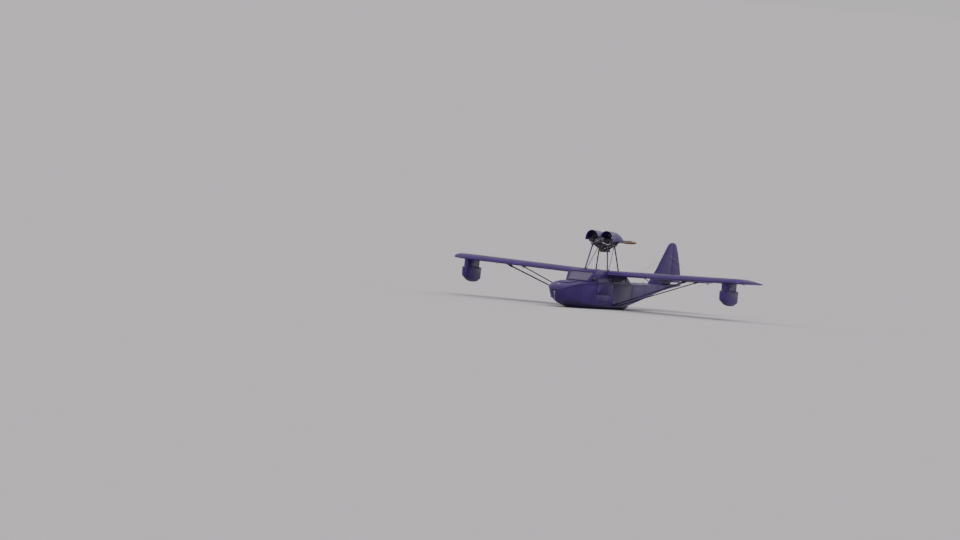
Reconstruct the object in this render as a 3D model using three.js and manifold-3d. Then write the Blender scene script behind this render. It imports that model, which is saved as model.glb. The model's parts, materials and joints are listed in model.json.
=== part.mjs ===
// Small strut-braced high-wing flying boat with its engine on a pylon.
// Millimetres. +X is the left wing, -Y is the bow, +Z is up, z = 0 is the waterline.
import * as THREE from 'three';
import { mergeVertices } from 'three/addons/utils/BufferGeometryUtils.js';
import Module from 'manifold-3d';

const wasm = await Module();
wasm.setup();

// General clearances
const SEAT_GAP = 0.3;
const SWING_GAP = 8;
const LONG_CUT = 6000;

// Wing
const CHORD = 1500;
const WING_LEAD = -750;
const WING_TRAIL = 750;
const WING_BOTTOM = 1030;
const CENTER_HALF = 500;
const DIHEDRAL = THREE.MathUtils.degToRad(1.4);
const FRONT_SPAR = -520;
const REAR_SPAR = 230;
const AILERON_HINGE_Y = 470;
const AILERON_HINGE_Z = 37.5;
const AILERON_NOSE = 37;
const AILERON_INNER = 2600;
const AILERON_OUTER = 4400;
const HINGE_PIN = 8;

// Hull and cabin
const SHEER = 800;
const CABIN_SIDE = 550;
const CABIN_TOP_SIDE = 500;
const SKIN = 25;
const COWL_FOOT = -1640;
const COWL_HALF = 400;
const COWL_TOP = 838;
const SHIELD_TOP = { y: -1325, z: 1158 };
const ROOF = { y: -1245, z: 1178 };
const ROOF_END = -625;
const FLOOR = 90;
const DOOR_FRONT = -1280;
const DOOR_BACK = -380;
const DOOR_AXIS_X = 564;
const DOOR_AXIS_Y = -1286;
const GLASS = 4;

// Struts and side floats
const STRUT_SPAN = 3400;
const STRUT_FOOT_Z = 130;
const FLOAT_X = 4720;
const FLOAT_KEEL = 462;
const FLOAT_PYLON_Y = -415;
const FLOAT_PYLON_CHORD = 800;
const FLOAT_PYLON_THICK = 214;
const RAIL_WIDTH = 30;

// Engine and pylon
const CRANK_Z = 2100;
const CASE_HALF = 130;
const CASE_BOTTOM = 1985;
const BED_Z = 1960;
const MUFFLER_Z = 1802;
const MUFFLER_RADIUS = 56;
const LEG_RADIUS = 20;
const PROP_Y = 380;
const PROP_RADIUS = 780;

// Tail
const FIN_TOP = 2138;
const FIN_TRAIL = 3725;
const RUDDER_HINGE = 3750;
const RUDDER_BOTTOM = 905;
const TAIL_Z = 1000;
const ELEVATOR_HINGE = 3625;
const TORQUE_TUBE = 16;
const FIN_CORE = 20;

// Flat-bottomed wing section: share of the chord, upper height, lower height
const WING_SECTION = [
  { at: 0.0125, upper: 0.0545, lower: 0.0193 },
  { at: 0.05, upper: 0.079, lower: 0.0093 },
  { at: 0.12, upper: 0.1, lower: 0.003 },
  { at: 0.25, upper: 0.1165, lower: 0 },
  { at: 0.4, upper: 0.114, lower: 0 },
  { at: 0.6, upper: 0.0915, lower: 0 },
  { at: 0.8, upper: 0.0522, lower: 0 },
  { at: 1, upper: 0.005, lower: 0 },
];
const NOSE_HEIGHT = 0.035;

// Hull stations from bow to stern: half breadths and heights
const HULL_STATIONS = [
  { y: -2850, keel: 400, chineX: 70, chineZ: 440, sheerX: 130, sheerZ: 520, crown: 545 },
  { y: -2825, keel: 270, chineX: 140, chineZ: 390, sheerX: 215, sheerZ: 560, crown: 590 },
  { y: -2750, keel: 175, chineX: 205, chineZ: 345, sheerX: 290, sheerZ: 605, crown: 640 },
  { y: -2600, keel: 130, chineX: 285, chineZ: 310, sheerX: 362, sheerZ: 655, crown: 695 },
  { y: -2400, keel: 80, chineX: 355, chineZ: 270, sheerX: 425, sheerZ: 705, crown: 748 },
  { y: -2100, keel: 10, chineX: 432, chineZ: 220, sheerX: 487, sheerZ: 762, crown: 802 },
  { y: -1760, keel: -60, chineX: 490, chineZ: 172, sheerX: 525, sheerZ: 800, crown: 834 },
  { y: -1290, keel: -130, chineX: 535, chineZ: 130, sheerX: 550, sheerZ: 800, crown: 838 },
  { y: -700, keel: -172, chineX: 545, chineZ: 104, sheerX: 550, sheerZ: 800, crown: 838 },
  { y: 548, keel: -172, chineX: 545, chineZ: 100, sheerX: 550, sheerZ: 800, crown: 840 },
  { y: 550, keel: -60, chineX: 543, chineZ: 158, sheerX: 550, sheerZ: 800, crown: 840 },
  { y: 1200, keel: 140, chineX: 490, chineZ: 300, sheerX: 512, sheerZ: 800, crown: 842 },
  { y: 1800, keel: 310, chineX: 412, chineZ: 428, sheerX: 440, sheerZ: 802, crown: 842 },
  { y: 2400, keel: 470, chineX: 325, chineZ: 556, sheerX: 354, sheerZ: 806, crown: 843 },
  { y: 3000, keel: 605, chineX: 232, chineZ: 664, sheerX: 262, sheerZ: 812, crown: 845 },
  { y: 3650, keel: 725, chineX: 142, chineZ: 756, sheerX: 168, sheerZ: 822, crown: 852 },
  { y: 4160, keel: 792, chineX: 76, chineZ: 806, sheerX: 98, sheerZ: 834, crown: 858 },
  { y: 4310, keel: 814, chineX: 36, chineZ: 824, sheerX: 50, sheerZ: 840, crown: 860 },
  { y: 4340, keel: 826, chineX: 14, chineZ: 832, sheerX: 22, sheerZ: 843, crown: 860 },
];
const KEEL_HALF = 22;

// Wing panel outline from its root: distance out, lead, trail, share of full thickness
const PANEL_ROWS = [
  { out: -60, lead: -750, trail: 750, thick: 1 },
  { out: 4260, lead: -750, trail: 750, thick: 1 },
  { out: 4500, lead: -715, trail: 748, thick: 0.97 },
  { out: 4650, lead: -662, trail: 742, thick: 0.92 },
  { out: 4735, lead: -596, trail: 726, thick: 0.82 },
  { out: 4782, lead: -505, trail: 692, thick: 0.62 },
  { out: 4800, lead: -415, trail: 640, thick: 0.36 },
];

// Fin and rudder outlines by height
const FIN_ROWS = [
  { z: 835, lead: 2420, thick: 84 },
  { z: 1010, lead: 2610, thick: 82 },
  { z: 1330, lead: 2900, thick: 76 },
  { z: 1720, lead: 3200, thick: 68 },
  { z: 1950, lead: 3380, thick: 60 },
  { z: 2060, lead: 3475, thick: 52 },
  { z: 2112, lead: 3550, thick: 42 },
  { z: FIN_TOP, lead: 3640, thick: 28 },
];
const RUDDER_ROWS = [
  { z: RUDDER_BOTTOM, trail: 4290 },
  { z: 980, trail: 4305 },
  { z: 1150, trail: 4295 },
  { z: 1400, trail: 4230 },
  { z: 1750, trail: 4095 },
  { z: 1950, trail: 4010 },
  { z: 2060, trail: 3950 },
  { z: 2112, trail: 3885 },
  { z: FIN_TOP, trail: 3800 },
];

// Tailplane half and elevator half by distance from the centreline
const TAIL_ROWS = [
  { x: 44, lead: 3060, thick: 56 },
  { x: 900, lead: 3140, thick: 54 },
  { x: 1200, lead: 3190, thick: 50 },
  { x: 1380, lead: 3265, thick: 42 },
  { x: 1470, lead: 3370, thick: 32 },
  { x: 1500, lead: 3470, thick: 22 },
];
const ELEVATOR_ROWS = [
  { x: 62, trail: 4105 },
  { x: 1000, trail: 4110 },
  { x: 1250, trail: 4080 },
  { x: 1400, trail: 4010 },
  { x: 1475, trail: 3910 },
  { x: 1500, trail: 3800 },
];

// Side float stations: half breadths and heights above its keel
const FLOAT_STATIONS = [
  { y: -800, keel: 250, chineX: 30, chineZ: 275, deckX: 40, deckZ: 440 },
  { y: -770, keel: 165, chineX: 66, chineZ: 215, deckX: 76, deckZ: 452 },
  { y: -690, keel: 95, chineX: 96, chineZ: 160, deckX: 104, deckZ: 460 },
  { y: -560, keel: 38, chineX: 112, chineZ: 112, deckX: 118, deckZ: 464 },
  { y: -360, keel: 2, chineX: 118, chineZ: 78, deckX: 122, deckZ: 466 },
  { y: -150, keel: 0, chineX: 114, chineZ: 72, deckX: 118, deckZ: 464 },
  { y: 20, keel: 22, chineX: 98, chineZ: 92, deckX: 104, deckZ: 456 },
  { y: 70, keel: 50, chineX: 84, chineZ: 112, deckX: 90, deckZ: 446 },
];

// Propeller blade by radius: chord, pitch in degrees, thickness
const BLADE_ROWS = [
  { out: 20, chord: 84, pitch: 50, thick: 46 },
  { out: 130, chord: 96, pitch: 44, thick: 34 },
  { out: 300, chord: 118, pitch: 33, thick: 22 },
  { out: 480, chord: 122, pitch: 24, thick: 15 },
  { out: 660, chord: 102, pitch: 18, thick: 10 },
  { out: 748, chord: 72, pitch: 15, thick: 7 },
  { out: PROP_RADIUS, chord: 34, pitch: 14, thick: 5 },
];

// Mesh building
function closedGeometry(positions, index) {
  let volume = 0;
  for (let i = 0; i < index.length; i += 3) {
    const [a, b, c] = [0, 1, 2].map((k) => new THREE.Vector3().fromArray(positions, index[i + k] * 3));
    volume += a.dot(b.cross(c));
  }
  if (volume < 0) {
    for (let i = 0; i < index.length; i += 3) {
      [index[i + 1], index[i + 2]] = [index[i + 2], index[i + 1]];
    }
  }
  const geometry = new THREE.BufferGeometry();
  geometry.setAttribute('position', new THREE.Float32BufferAttribute(positions, 3));
  geometry.setIndex(index);
  return geometry;
}

function capTriangles(ring, offset, dropAxis) {
  const [u, v] = [0, 1, 2].filter((axis) => axis !== dropAxis);
  const contour = ring.map((point) => new THREE.Vector2(point[u], point[v]));
  const turned = THREE.ShapeUtils.isClockWise(contour);
  const order = ring.map((_, i) => i);
  if (turned) {
    contour.reverse();
    order.reverse();
  }
  const faces = THREE.ShapeUtils.triangulateShape(contour, []);
  const triangles = faces.map((face) => face.map((i) => offset + order[i]));
  return turned ? triangles.map(([a, b, c]) => [a, c, b]) : triangles;
}

// Skin over rings of equal length, with a flat cap on each end
function loft(rings, dropAxis) {
  const count = rings[0].length;
  const positions = rings.flat(2);
  const points = rings.flat().map((point) => new THREE.Vector3(...point));
  const sides = [];
  for (let i = 0; i < rings.length - 1; i += 1) {
    for (let j = 0; j < count; j += 1) {
      const a = i * count + j;
      const b = i * count + ((j + 1) % count);
      const [c, d] = [a + count, b + count];
      const shorter = points[a].distanceTo(points[d]) < points[b].distanceTo(points[c]) - 1e-6;
      sides.push(...(shorter ? [[a, b, d], [a, d, c]] : [[a, b, c], [b, d, c]]));
    }
  }
  const start = capTriangles(rings[0], 0, dropAxis);
  const end = capTriangles(rings[rings.length - 1], (rings.length - 1) * count, dropAxis);
  const index = [...sides, ...matchCap(start, sides), ...matchCap(end, sides)].flat();
  return closedGeometry(positions, index);
}

// A cap edge has to run against the side edge it shares
function matchCap(cap, sides) {
  const directed = new Set(sides.flatMap(([a, b, c]) => [`${a}_${b}`, `${b}_${c}`, `${c}_${a}`]));
  const clash = cap.some(([a, b, c]) => (
    directed.has(`${a}_${b}`) || directed.has(`${b}_${c}`) || directed.has(`${c}_${a}`)
  ));
  return clash ? cap.map(([a, b, c]) => [a, c, b]) : cap;
}

function bare(geometry) {
  geometry.deleteAttribute('normal');
  geometry.deleteAttribute('uv');
  return mergeVertices(geometry);
}

function box(x0, x1, y0, y1, z0, z1) {
  const geometry = bare(new THREE.BoxGeometry(x1 - x0, y1 - y0, z1 - z0));
  return geometry.translate((x0 + x1) / 2, (y0 + y1) / 2, (z0 + z1) / 2);
}

// Outline in the two axes other than the one it is drawn out along
function prism(axis, outline, from, to) {
  const drawn = { x: 0, y: 1, z: 2 }[axis];
  const ringAt = (value) => outline.map((pair) => {
    const point = [...pair];
    point.splice(drawn, 0, value);
    return point;
  });
  return loft([ringAt(from), ringAt(to)], drawn);
}

function tube(from, to, radius, sides = 12, endRadius = radius) {
  const start = new THREE.Vector3(...from);
  const end = new THREE.Vector3(...to);
  const length = start.distanceTo(end);
  const geometry = bare(new THREE.CylinderGeometry(endRadius, radius, length, sides));
  const turn = new THREE.Quaternion().setFromUnitVectors(
    new THREE.Vector3(0, 1, 0),
    end.clone().sub(start).normalize(),
  );
  geometry.applyQuaternion(turn);
  return geometry.translate(...start.add(end).multiplyScalar(0.5).toArray());
}

// Streamlined member with its blunt edge toward the bow
function strut(from, to, chord, thickness) {
  const start = new THREE.Vector3(...from);
  const end = new THREE.Vector3(...to);
  const along = end.clone().sub(start).normalize();
  const aft = new THREE.Vector3(0, 1, 0);
  aft.addScaledVector(along, -aft.dot(along)).normalize();
  const side = new THREE.Vector3().crossVectors(along, aft);
  const shape = [
    [-0.4, 0], [-0.34, 0.3], [-0.18, 0.47], [0, 0.5], [0.25, 0.36], [0.6, 0.06],
    [0.6, -0.06], [0.25, -0.36], [0, -0.5], [-0.18, -0.47], [-0.34, -0.3],
  ];
  const ringAt = (centre) => shape.map(([a, s]) => (
    centre.clone().addScaledVector(aft, a * chord).addScaledVector(side, s * thickness).toArray()
  ));
  const span = end.clone().sub(start).toArray().map(Math.abs);
  return loft([ringAt(start), ringAt(end)], span.indexOf(Math.max(...span)));
}

function toSolid(geometry) {
  const vertProperties = new Float32Array(geometry.getAttribute('position').array);
  const triVerts = new Uint32Array(geometry.getIndex().array);
  return new wasm.Manifold(new wasm.Mesh({ numProp: 3, vertProperties, triVerts }));
}

function toGeometry(solid) {
  const mesh = solid.getMesh();
  const geometry = new THREE.BufferGeometry();
  geometry.setAttribute('position', new THREE.BufferAttribute(mesh.vertProperties, 3));
  geometry.setIndex(new THREE.BufferAttribute(mesh.triVerts, 1));
  return geometry;
}

function combine(how, first, others) {
  return toGeometry(others.reduce((solid, other) => solid[how](toSolid(other)), toSolid(first)));
}

const join = (first, ...others) => combine('add', first, others);
const cut = (first, ...others) => combine('subtract', first, others);
const keep = (first, ...others) => combine('intersect', first, others);

function moved(geometry, x, y, z) {
  return geometry.clone().translate(x, y, z);
}

function mirrored(geometry) {
  const copy = geometry.clone().scale(-1, 1, 1);
  const index = Array.from(copy.getIndex().array);
  const positions = Array.from(copy.getAttribute('position').array);
  return closedGeometry(positions, index);
}

// Wing
function wingRing(x, lead, trail, thick) {
  const chord = trail - lead;
  const middle = 0.05 * CHORD;
  const lift = (height) => middle + (height * CHORD - middle) * thick;
  const point = (at, height) => [x, lead + at * chord, lift(height)];
  const upper = [...WING_SECTION].reverse().map((row) => point(row.at, row.upper));
  const lower = WING_SECTION.map((row) => point(row.at, row.lower));
  return [...upper, point(0, NOSE_HEIGHT), ...lower];
}

function centerBlank() {
  const rings = [-CENTER_HALF, CENTER_HALF].map((x) => wingRing(x, WING_LEAD, WING_TRAIL, 1));
  return loft(rings, 0).translate(0, 0, WING_BOTTOM);
}

function panelBlank() {
  return loft(PANEL_ROWS.map(({ out, lead, trail, thick }) => wingRing(out, lead, trail, thick)), 0);
}

// Sets a panel drawn flat from its root onto the centre section at the dihedral
function onWing(geometry) {
  return geometry.rotateY(-DIHEDRAL).translate(CENTER_HALF, 0, WING_BOTTOM);
}

function hingeRod(from, to, radius, sides) {
  const place = (x) => [x, AILERON_HINGE_Y, AILERON_HINGE_Z];
  return tube(place(from), place(to), radius, sides);
}

function wingPanel() {
  const pocket = box(
    AILERON_INNER - SWING_GAP, AILERON_OUTER + SWING_GAP, AILERON_HINGE_Y, WING_TRAIL + 50, -50, 250,
  );
  const cove = hingeRod(AILERON_INNER - SWING_GAP, AILERON_OUTER + SWING_GAP, AILERON_NOSE + SWING_GAP, 24);
  const sockets = hingeRod(AILERON_INNER - 40, AILERON_OUTER + 40, HINGE_PIN + 0.4, 16);
  const panel = onWing(cut(panelBlank(), pocket, cove, sockets));
  return keep(panel, box(CENTER_HALF + SEAT_GAP, LONG_CUT, -1000, 1000, 0, 2000));
}

function aileron() {
  const behind = box(AILERON_INNER, AILERON_OUTER, AILERON_HINGE_Y, WING_TRAIL + 50, -50, 250);
  const flap = keep(panelBlank(), behind);
  const nose = hingeRod(AILERON_INNER, AILERON_OUTER, AILERON_NOSE, 20);
  const pins = hingeRod(AILERON_INNER - 30, AILERON_OUTER + 30, HINGE_PIN, 16);
  return onWing(join(flap, nose, pins));
}

function wingUnderside(x) {
  return WING_BOTTOM + Math.tan(DIHEDRAL) * (x - CENTER_HALF);
}

// Hull
function hullRing({ y, keel, chineX, chineZ, sheerX, sheerZ }) {
  const middle = [0.5 * (KEEL_HALF + chineX), keel + 0.44 * (chineZ - keel)];
  const half = [[KEEL_HALF, keel], middle, [chineX, chineZ], [sheerX, sheerZ]];
  const left = half.map(([x, z]) => [x, y, z]);
  const right = [...half].reverse().map(([x, z]) => [-x, y, z]);
  return [...left, ...right];
}

function hullBlank() {
  return loft(HULL_STATIONS.map(hullRing), 1);
}

// Strip along the chine that throws the spray outward
function sprayRail() {
  const ringAt = ({ y, chineX, chineZ }) => [
    [chineX - 6, y, chineZ - 10], [chineX + RAIL_WIDTH, y, chineZ - 7],
    [chineX + RAIL_WIDTH, y, chineZ - 1], [chineX - 1, y, chineZ + 5],
  ];
  return cut(loft(stationsBetween(-2600, 548).map(ringAt), 1), moved(hullBlank(), SEAT_GAP, 0, -SEAT_GAP));
}

function deckRing({ y, sheerX, sheerZ, crown }) {
  const rise = crown - sheerZ;
  const half = [[sheerX, 0], [0.97 * sheerX, 0.3], [0.72 * sheerX, 0.74], [0.36 * sheerX, 0.95]];
  const left = half.map(([x, share]) => [x, y, sheerZ + SEAT_GAP + share * rise]);
  const right = [...half].reverse().map(([x, share]) => [-x, y, sheerZ + SEAT_GAP + share * rise]);
  return [...left, [0, y, crown], ...right];
}

function stationsBetween(from, to) {
  return HULL_STATIONS.filter(({ y }) => y >= from && y <= to);
}

// Cabin seen from the side, from ahead and from above
function cabinBlock(inset, drop) {
  const cowl = COWL_FOOT + 1.434 * inset;
  const side = [
    [cowl, SHEER - drop], [cowl, COWL_TOP],
    [SHIELD_TOP.y + 0.506 * inset, SHIELD_TOP.z - 0.905 * inset], [ROOF.y + 0.124 * inset, ROOF.z - inset],
    [ROOF_END, ROOF.z - inset], [ROOF_END, WING_BOTTOM - 1], [430 - inset, WING_BOTTOM - 1],
    [640 - inset * 1.2, 846 - inset * 0.4], [640 - inset * 1.2, SHEER - drop],
  ];
  const low = CABIN_SIDE - inset;
  const high = CABIN_TOP_SIDE - inset;
  const front = [
    [low, SHEER - drop], [low, SHEER], [high, WING_BOTTOM], [high - 26, ROOF.z + 10],
    [-high + 26, ROOF.z + 10], [-high, WING_BOTTOM], [-low, SHEER], [-low, SHEER - drop],
  ];
  const nose = COWL_HALF - inset;
  const above = [
    [nose, COWL_FOOT - 50], [nose, COWL_FOOT], [low, DOOR_FRONT - 14], [low, 560], [low - 30, 700],
    [30 - low, 700], [-low, 560], [-low, DOOR_FRONT - 14], [-nose, COWL_FOOT], [-nose, COWL_FOOT - 50],
  ];
  return keep(
    prism('x', side, -700, 700),
    prism('y', front, -2000, 900),
    prism('z', above, 0, 1400),
  );
}

function doorOutline(grow) {
  return [
    [DOOR_FRONT - grow, 450 - grow], [DOOR_BACK + grow, 450 - grow], [DOOR_BACK + grow, 1000 + grow],
    [-1190 - grow * 0.6, 1000 + grow], [DOOR_FRONT - grow, 930 + grow * 0.6],
  ];
}

function doorOpening(side) {
  const reach = [side * 440, side * 640].sort((a, b) => a - b);
  return prism('x', doorOutline(SWING_GAP), ...reach);
}

function cabinWell() {
  const inner = CABIN_SIDE - SKIN;
  const outline = [
    [inner, 860], [inner, 190], [430, FLOOR], [-430, FLOOR], [-inner, 190], [-inner, 860],
  ];
  return prism('y', outline, -1240, 420);
}

function footWell() {
  const outline = [[330, 860], [330, 300], [230, 190], [-230, 190], [-330, 300], [-330, 860]];
  return prism('y', outline, -1600, -1200);
}

function knuckle(z0, z1) {
  return tube([DOOR_AXIS_X, DOOR_AXIS_Y, z0], [DOOR_AXIS_X, DOOR_AXIS_Y, z1], 8, 12);
}

const KNUCKLE_ROWS = [{ low: 500, high: 590 }, { low: 690, high: 780 }];

function hullKnuckles() {
  const pieces = KNUCKLE_ROWS.flatMap(({ low, high }) => [
    knuckle(low, low + 24.7),
    knuckle(high - 24.7, high),
    box(540, DOOR_AXIS_X, DOOR_AXIS_Y - 8, DOOR_AXIS_Y - 1, low, low + 24.7),
    box(540, DOOR_AXIS_X, DOOR_AXIS_Y - 8, DOOR_AXIS_Y - 1, high - 24.7, high),
  ]);
  return join(...pieces);
}

function doorKnuckles() {
  const pieces = KNUCKLE_ROWS.flatMap(({ low, high }) => [
    knuckle(low + 25, high - 25),
    box(543, DOOR_AXIS_X + 4, DOOR_AXIS_Y + 2, DOOR_AXIS_Y + 26, low + 25, high - 25),
  ]);
  return join(...pieces);
}

function hull() {
  const blank = hullBlank();
  const knuckles = hullKnuckles();
  const well = join(cabinWell(), footWell());
  return join(cut(blank, well, doorOpening(1), doorOpening(-1)), knuckles, mirrored(knuckles));
}

function foredeck() {
  const rings = stationsBetween(-2850, -1290).map(deckRing);
  const notch = prism('z', [
    [COWL_HALF + 0.5, COWL_FOOT - SEAT_GAP], [551, DOOR_FRONT - 14.5], [551, -1200],
    [-551, -1200], [-551, DOOR_FRONT - 14.5], [-COWL_HALF - 0.5, COWL_FOOT - SEAT_GAP],
  ], 0, 1200);
  return cut(loft(rings, 1), notch);
}

function aftDeck() {
  const deck = loft(stationsBetween(550, 4340).map(deckRing), 1);
  return cut(deck, box(-700, 700, 500, 640 + SEAT_GAP, 700, 900));
}

const WINDSHIELD = [[-358, 868], [358, 868], [426, 1124], [-426, 1124]];
const SKYLIGHT = [[-330, -1225], [330, -1225], [330, -815], [-330, -815]];
const QUARTER_LIGHT = [[-1548, 862], [-1340, 862], [-1340, 1064]];
const REAR_LIGHT = [[-300, 858], [330, 858], [330, 975], [-300, 975]];
const DOOR_LIGHT = [[-1235, 822], [-425, 822], [-425, 958], [-1165, 958], [-1235, 905]];

function cabinFrame() {
  const shell = cut(
    cabinBlock(0, 10),
    cabinBlock(SKIN, 20),
    prism('y', WINDSHIELD, -1700, SHIELD_TOP.y),
    prism('z', SKYLIGHT, ROOF.z - 50, ROOF.z + 50),
    prism('x', QUARTER_LIGHT, -700, 700),
    prism('x', REAR_LIGHT, -700, 700),
    doorOpening(1),
    doorOpening(-1),
    moved(centerBlank(), 0, -SEAT_GAP, -SEAT_GAP),
    moved(centerBlank(), 0, -SEAT_GAP, 4),
  );
  return keep(shell, box(-700, 700, -2000, 900, SHEER + SEAT_GAP, 1200));
}

// Glass is the inner part of the cabin skin inside one opening
function pane(cutter) {
  return keep(cut(cabinBlock(8, 10), cabinBlock(8 + GLASS, 20)), cutter);
}

function shrunk(outline, by) {
  const centre = outline.reduce(([a, b], [u, v]) => [a + u / outline.length, b + v / outline.length], [0, 0]);
  return outline.map(([u, v]) => {
    const length = Math.hypot(u - centre[0], v - centre[1]);
    const share = 1 - by / length;
    return [centre[0] + (u - centre[0]) * share, centre[1] + (v - centre[1]) * share];
  });
}

function bodySide() {
  return join(hullBlank(), cabinBlock(0, 10));
}

function door() {
  const inside = prism('y', [
    [0, 400],
    [CABIN_SIDE - SKIN, 400],
    [CABIN_SIDE - SKIN, SHEER],
    [CABIN_TOP_SIDE - SKIN, WING_BOTTOM],
    [0, WING_BOTTOM],
  ], -1500, 0);
  const panel = keep(bodySide(), prism('x', doorOutline(0), 440, 640));
  return join(cut(panel, inside, prism('x', DOOR_LIGHT, 400, 700)), doorKnuckles());
}

function doorWindow() {
  const inside = (inset) => prism('y', [
    [0, 400],
    [CABIN_SIDE - inset, 400],
    [CABIN_SIDE - inset, SHEER],
    [CABIN_TOP_SIDE - inset, WING_BOTTOM],
    [0, WING_BOTTOM],
  ], -1500, 0);
  return keep(cut(inside(10), inside(10 + GLASS)), prism('x', shrunk(DOOR_LIGHT, 0.5), 300, 700));
}

// Cabin fittings
function seatCushion() {
  return box(-410, 410, -900, -440, FLOOR + SEAT_GAP, FLOOR + 130);
}

function seatBack() {
  const outline = [[-430, FLOOR + SEAT_GAP], [-340, FLOOR + SEAT_GAP], [-215, 640], [-300, 640]];
  return prism('x', outline, -410, 410);
}

function instrumentPanel() {
  const face = box(-500, 500, -1239.7, -1180, 560, 806);
  const shield = [[-370, -1600], [370, -1600], [500, -1239.7], [500, -1160], [-500, -1160], [-500, -1239.7]];
  return join(face, prism('z', shield, SHEER + SEAT_GAP, 812));
}

function controlColumn() {
  return join(
    tube([0, -1080, FLOOR + 10], [0, -1040, 470], 14, 12),
    box(-40, 40, -1110, -1050, FLOOR + SEAT_GAP, FLOOR + 30),
    tube([0, -1042, 462], [0, -1038, 560], 20, 12),
  );
}

// Lift struts
const STRUT_ROWS = [
  { name: 'front', footY: -280, topY: FRONT_SPAR, chord: 92, thickness: 40 },
  { name: 'rear', footY: 20, topY: REAR_SPAR, chord: 76, thickness: 32 },
];

function liftStrut({ footY, topY, chord, thickness }) {
  const foot = [520, footY, STRUT_FOOT_Z];
  const top = [STRUT_SPAN, topY, wingUnderside(STRUT_SPAN) + 40];
  const hullSkin = moved(hullBlank(), SEAT_GAP, 0, 0);
  const wingSkin = moved(onWing(panelBlank()), 0, 0, -SEAT_GAP);
  return cut(strut(foot, top, chord, thickness), hullSkin, wingSkin);
}

// Side floats
function floatRing({ y, keel, chineX, chineZ, deckX, deckZ }) {
  const edge = [[deckX, deckZ - 30], [deckX - 9, deckZ - 9], [deckX - 30, deckZ]];
  const half = [[10, keel], [chineX, chineZ], ...edge];
  const left = half.map(([x, z]) => [FLOAT_X + x, y, FLOAT_KEEL + z]);
  const right = [...half].reverse().map(([x, z]) => [FLOAT_X - x, y, FLOAT_KEEL + z]);
  return [...left, ...right];
}

function sideFloat() {
  return loft(FLOAT_STATIONS.map(floatRing), 1);
}

function floatPylon() {
  const fairing = strut(
    [FLOAT_X, FLOAT_PYLON_Y, FLOAT_KEEL + 400],
    [FLOAT_X, FLOAT_PYLON_Y, wingUnderside(FLOAT_X) + 60],
    FLOAT_PYLON_CHORD,
    FLOAT_PYLON_THICK,
  );
  return cut(fairing, moved(sideFloat(), 0, 0, SEAT_GAP), moved(onWing(panelBlank()), 0, 0, -SEAT_GAP));
}

// Pylon
const LEG_ROWS = [
  { name: 'front', footY: -590, topY: -470 },
  { name: 'rear', footY: 60, topY: -60 },
];
const LEG_FOOT_X = 425;
const LEG_TOP_X = 270;

function legLine({ footY, topY }) {
  return [[LEG_FOOT_X, footY, 1120], [LEG_TOP_X, topY, BED_Z]];
}

function pylonLeg(row) {
  const [foot, top] = legLine(row);
  return cut(
    tube(foot, top, LEG_RADIUS, 14),
    moved(centerBlank(), 0, 0, SEAT_GAP),
    box(0, 600, -700, 200, BED_Z - 22 - SEAT_GAP, 2100),
  );
}

function pylonBrace() {
  const [frontFoot] = legLine(LEG_ROWS[0]);
  const [, rearTop] = legLine(LEG_ROWS[1]);
  return cut(
    tube([frontFoot[0], frontFoot[1] + 40, 1130], [rearTop[0], rearTop[1] - 20, BED_Z - 10], 10, 8),
    moved(centerBlank(), 0, 0, SEAT_GAP),
    ...LEG_ROWS.map((row) => tube(...legLine(row), LEG_RADIUS + SEAT_GAP, 14)),
    box(0, 600, -700, 200, BED_Z - 22 - SEAT_GAP, 2100),
  );
}

function engineBed() {
  const cross = LEG_ROWS.map(({ topY }) => tube([-300, topY, BED_Z], [300, topY, BED_Z], 22, 14));
  const rails = [-1, 1].map((side) => (
    box(side * 118 - 16, side * 118 + 16, -520, 10, BED_Z - 16, CASE_BOTTOM - SEAT_GAP)
  ));
  return join(...cross, ...rails);
}

// Engine
const CASE_ROWS = [
  { y: -540, half: 62, low: 2040, high: 2160 },
  { y: -500, half: 112, low: 2000, high: 2190 },
  { y: -470, half: CASE_HALF, low: CASE_BOTTOM, high: 2212 },
  { y: -30, half: CASE_HALF, low: CASE_BOTTOM, high: 2212 },
  { y: 60, half: 104, low: 2008, high: 2190 },
  { y: 130, half: 62, low: 2040, high: 2160 },
  { y: 300, half: 50, low: 2050, high: 2150 },
];

function caseRing({ y, half, low, high }) {
  const slant = 0.34 * half;
  const outline = [
    [half, low + slant], [half, high - slant], [half - slant, high], [slant - half, high],
    [-half, high - slant], [-half, low + slant], [slant - half, low], [half - slant, low],
  ];
  return outline.map(([x, z]) => [x, y, z]);
}

function crankcase() {
  const body = loft(CASE_ROWS.map(caseRing), 1);
  const pan = [[92, 2020], [92, 1940], [52, 1875], [-52, 1875], [-92, 1940], [-92, 2020]];
  const sump = prism('y', pan, -420, -90);
  const flange = tube([0, 295, CRANK_Z], [0, 320, CRANK_Z], 68, 20);
  const lugs = [-1, 1].flatMap((side) => [-430, -90].map((y) => (
    box(side * 115 - 20, side * 115 + 20, y, y + 40, CASE_BOTTOM, 2040)
  )));
  const magneto = tube([0, -20, 2218], [0, 92, 2218], 30, 14);
  const filler = tube([0, -330, 2190], [0, -330, 2256], 20, 12);
  return join(body, sump, flange, ...lugs, magneto, filler);
}

const CYLINDER_ROWS = [{ y: -355, mouth: -270 }, { y: -125, mouth: -120 }];
const BARREL_RADIUS = 66;
const CYLINDER_FINS = [
  { from: 152, to: 161, radius: 82 },
  { from: 176, to: 185, radius: 84 },
  { from: 200, to: 209, radius: 86 },
  { from: 224, to: 233, radius: 88 },
  { from: 248, to: 257, radius: 90 },
  { from: 280, to: 291, radius: 94 },
  { from: 304, to: 315, radius: 95 },
  { from: 328, to: 339, radius: 96 },
  { from: 352, to: 392, radius: 96 },
];
const HEAD_END = 430;

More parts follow.
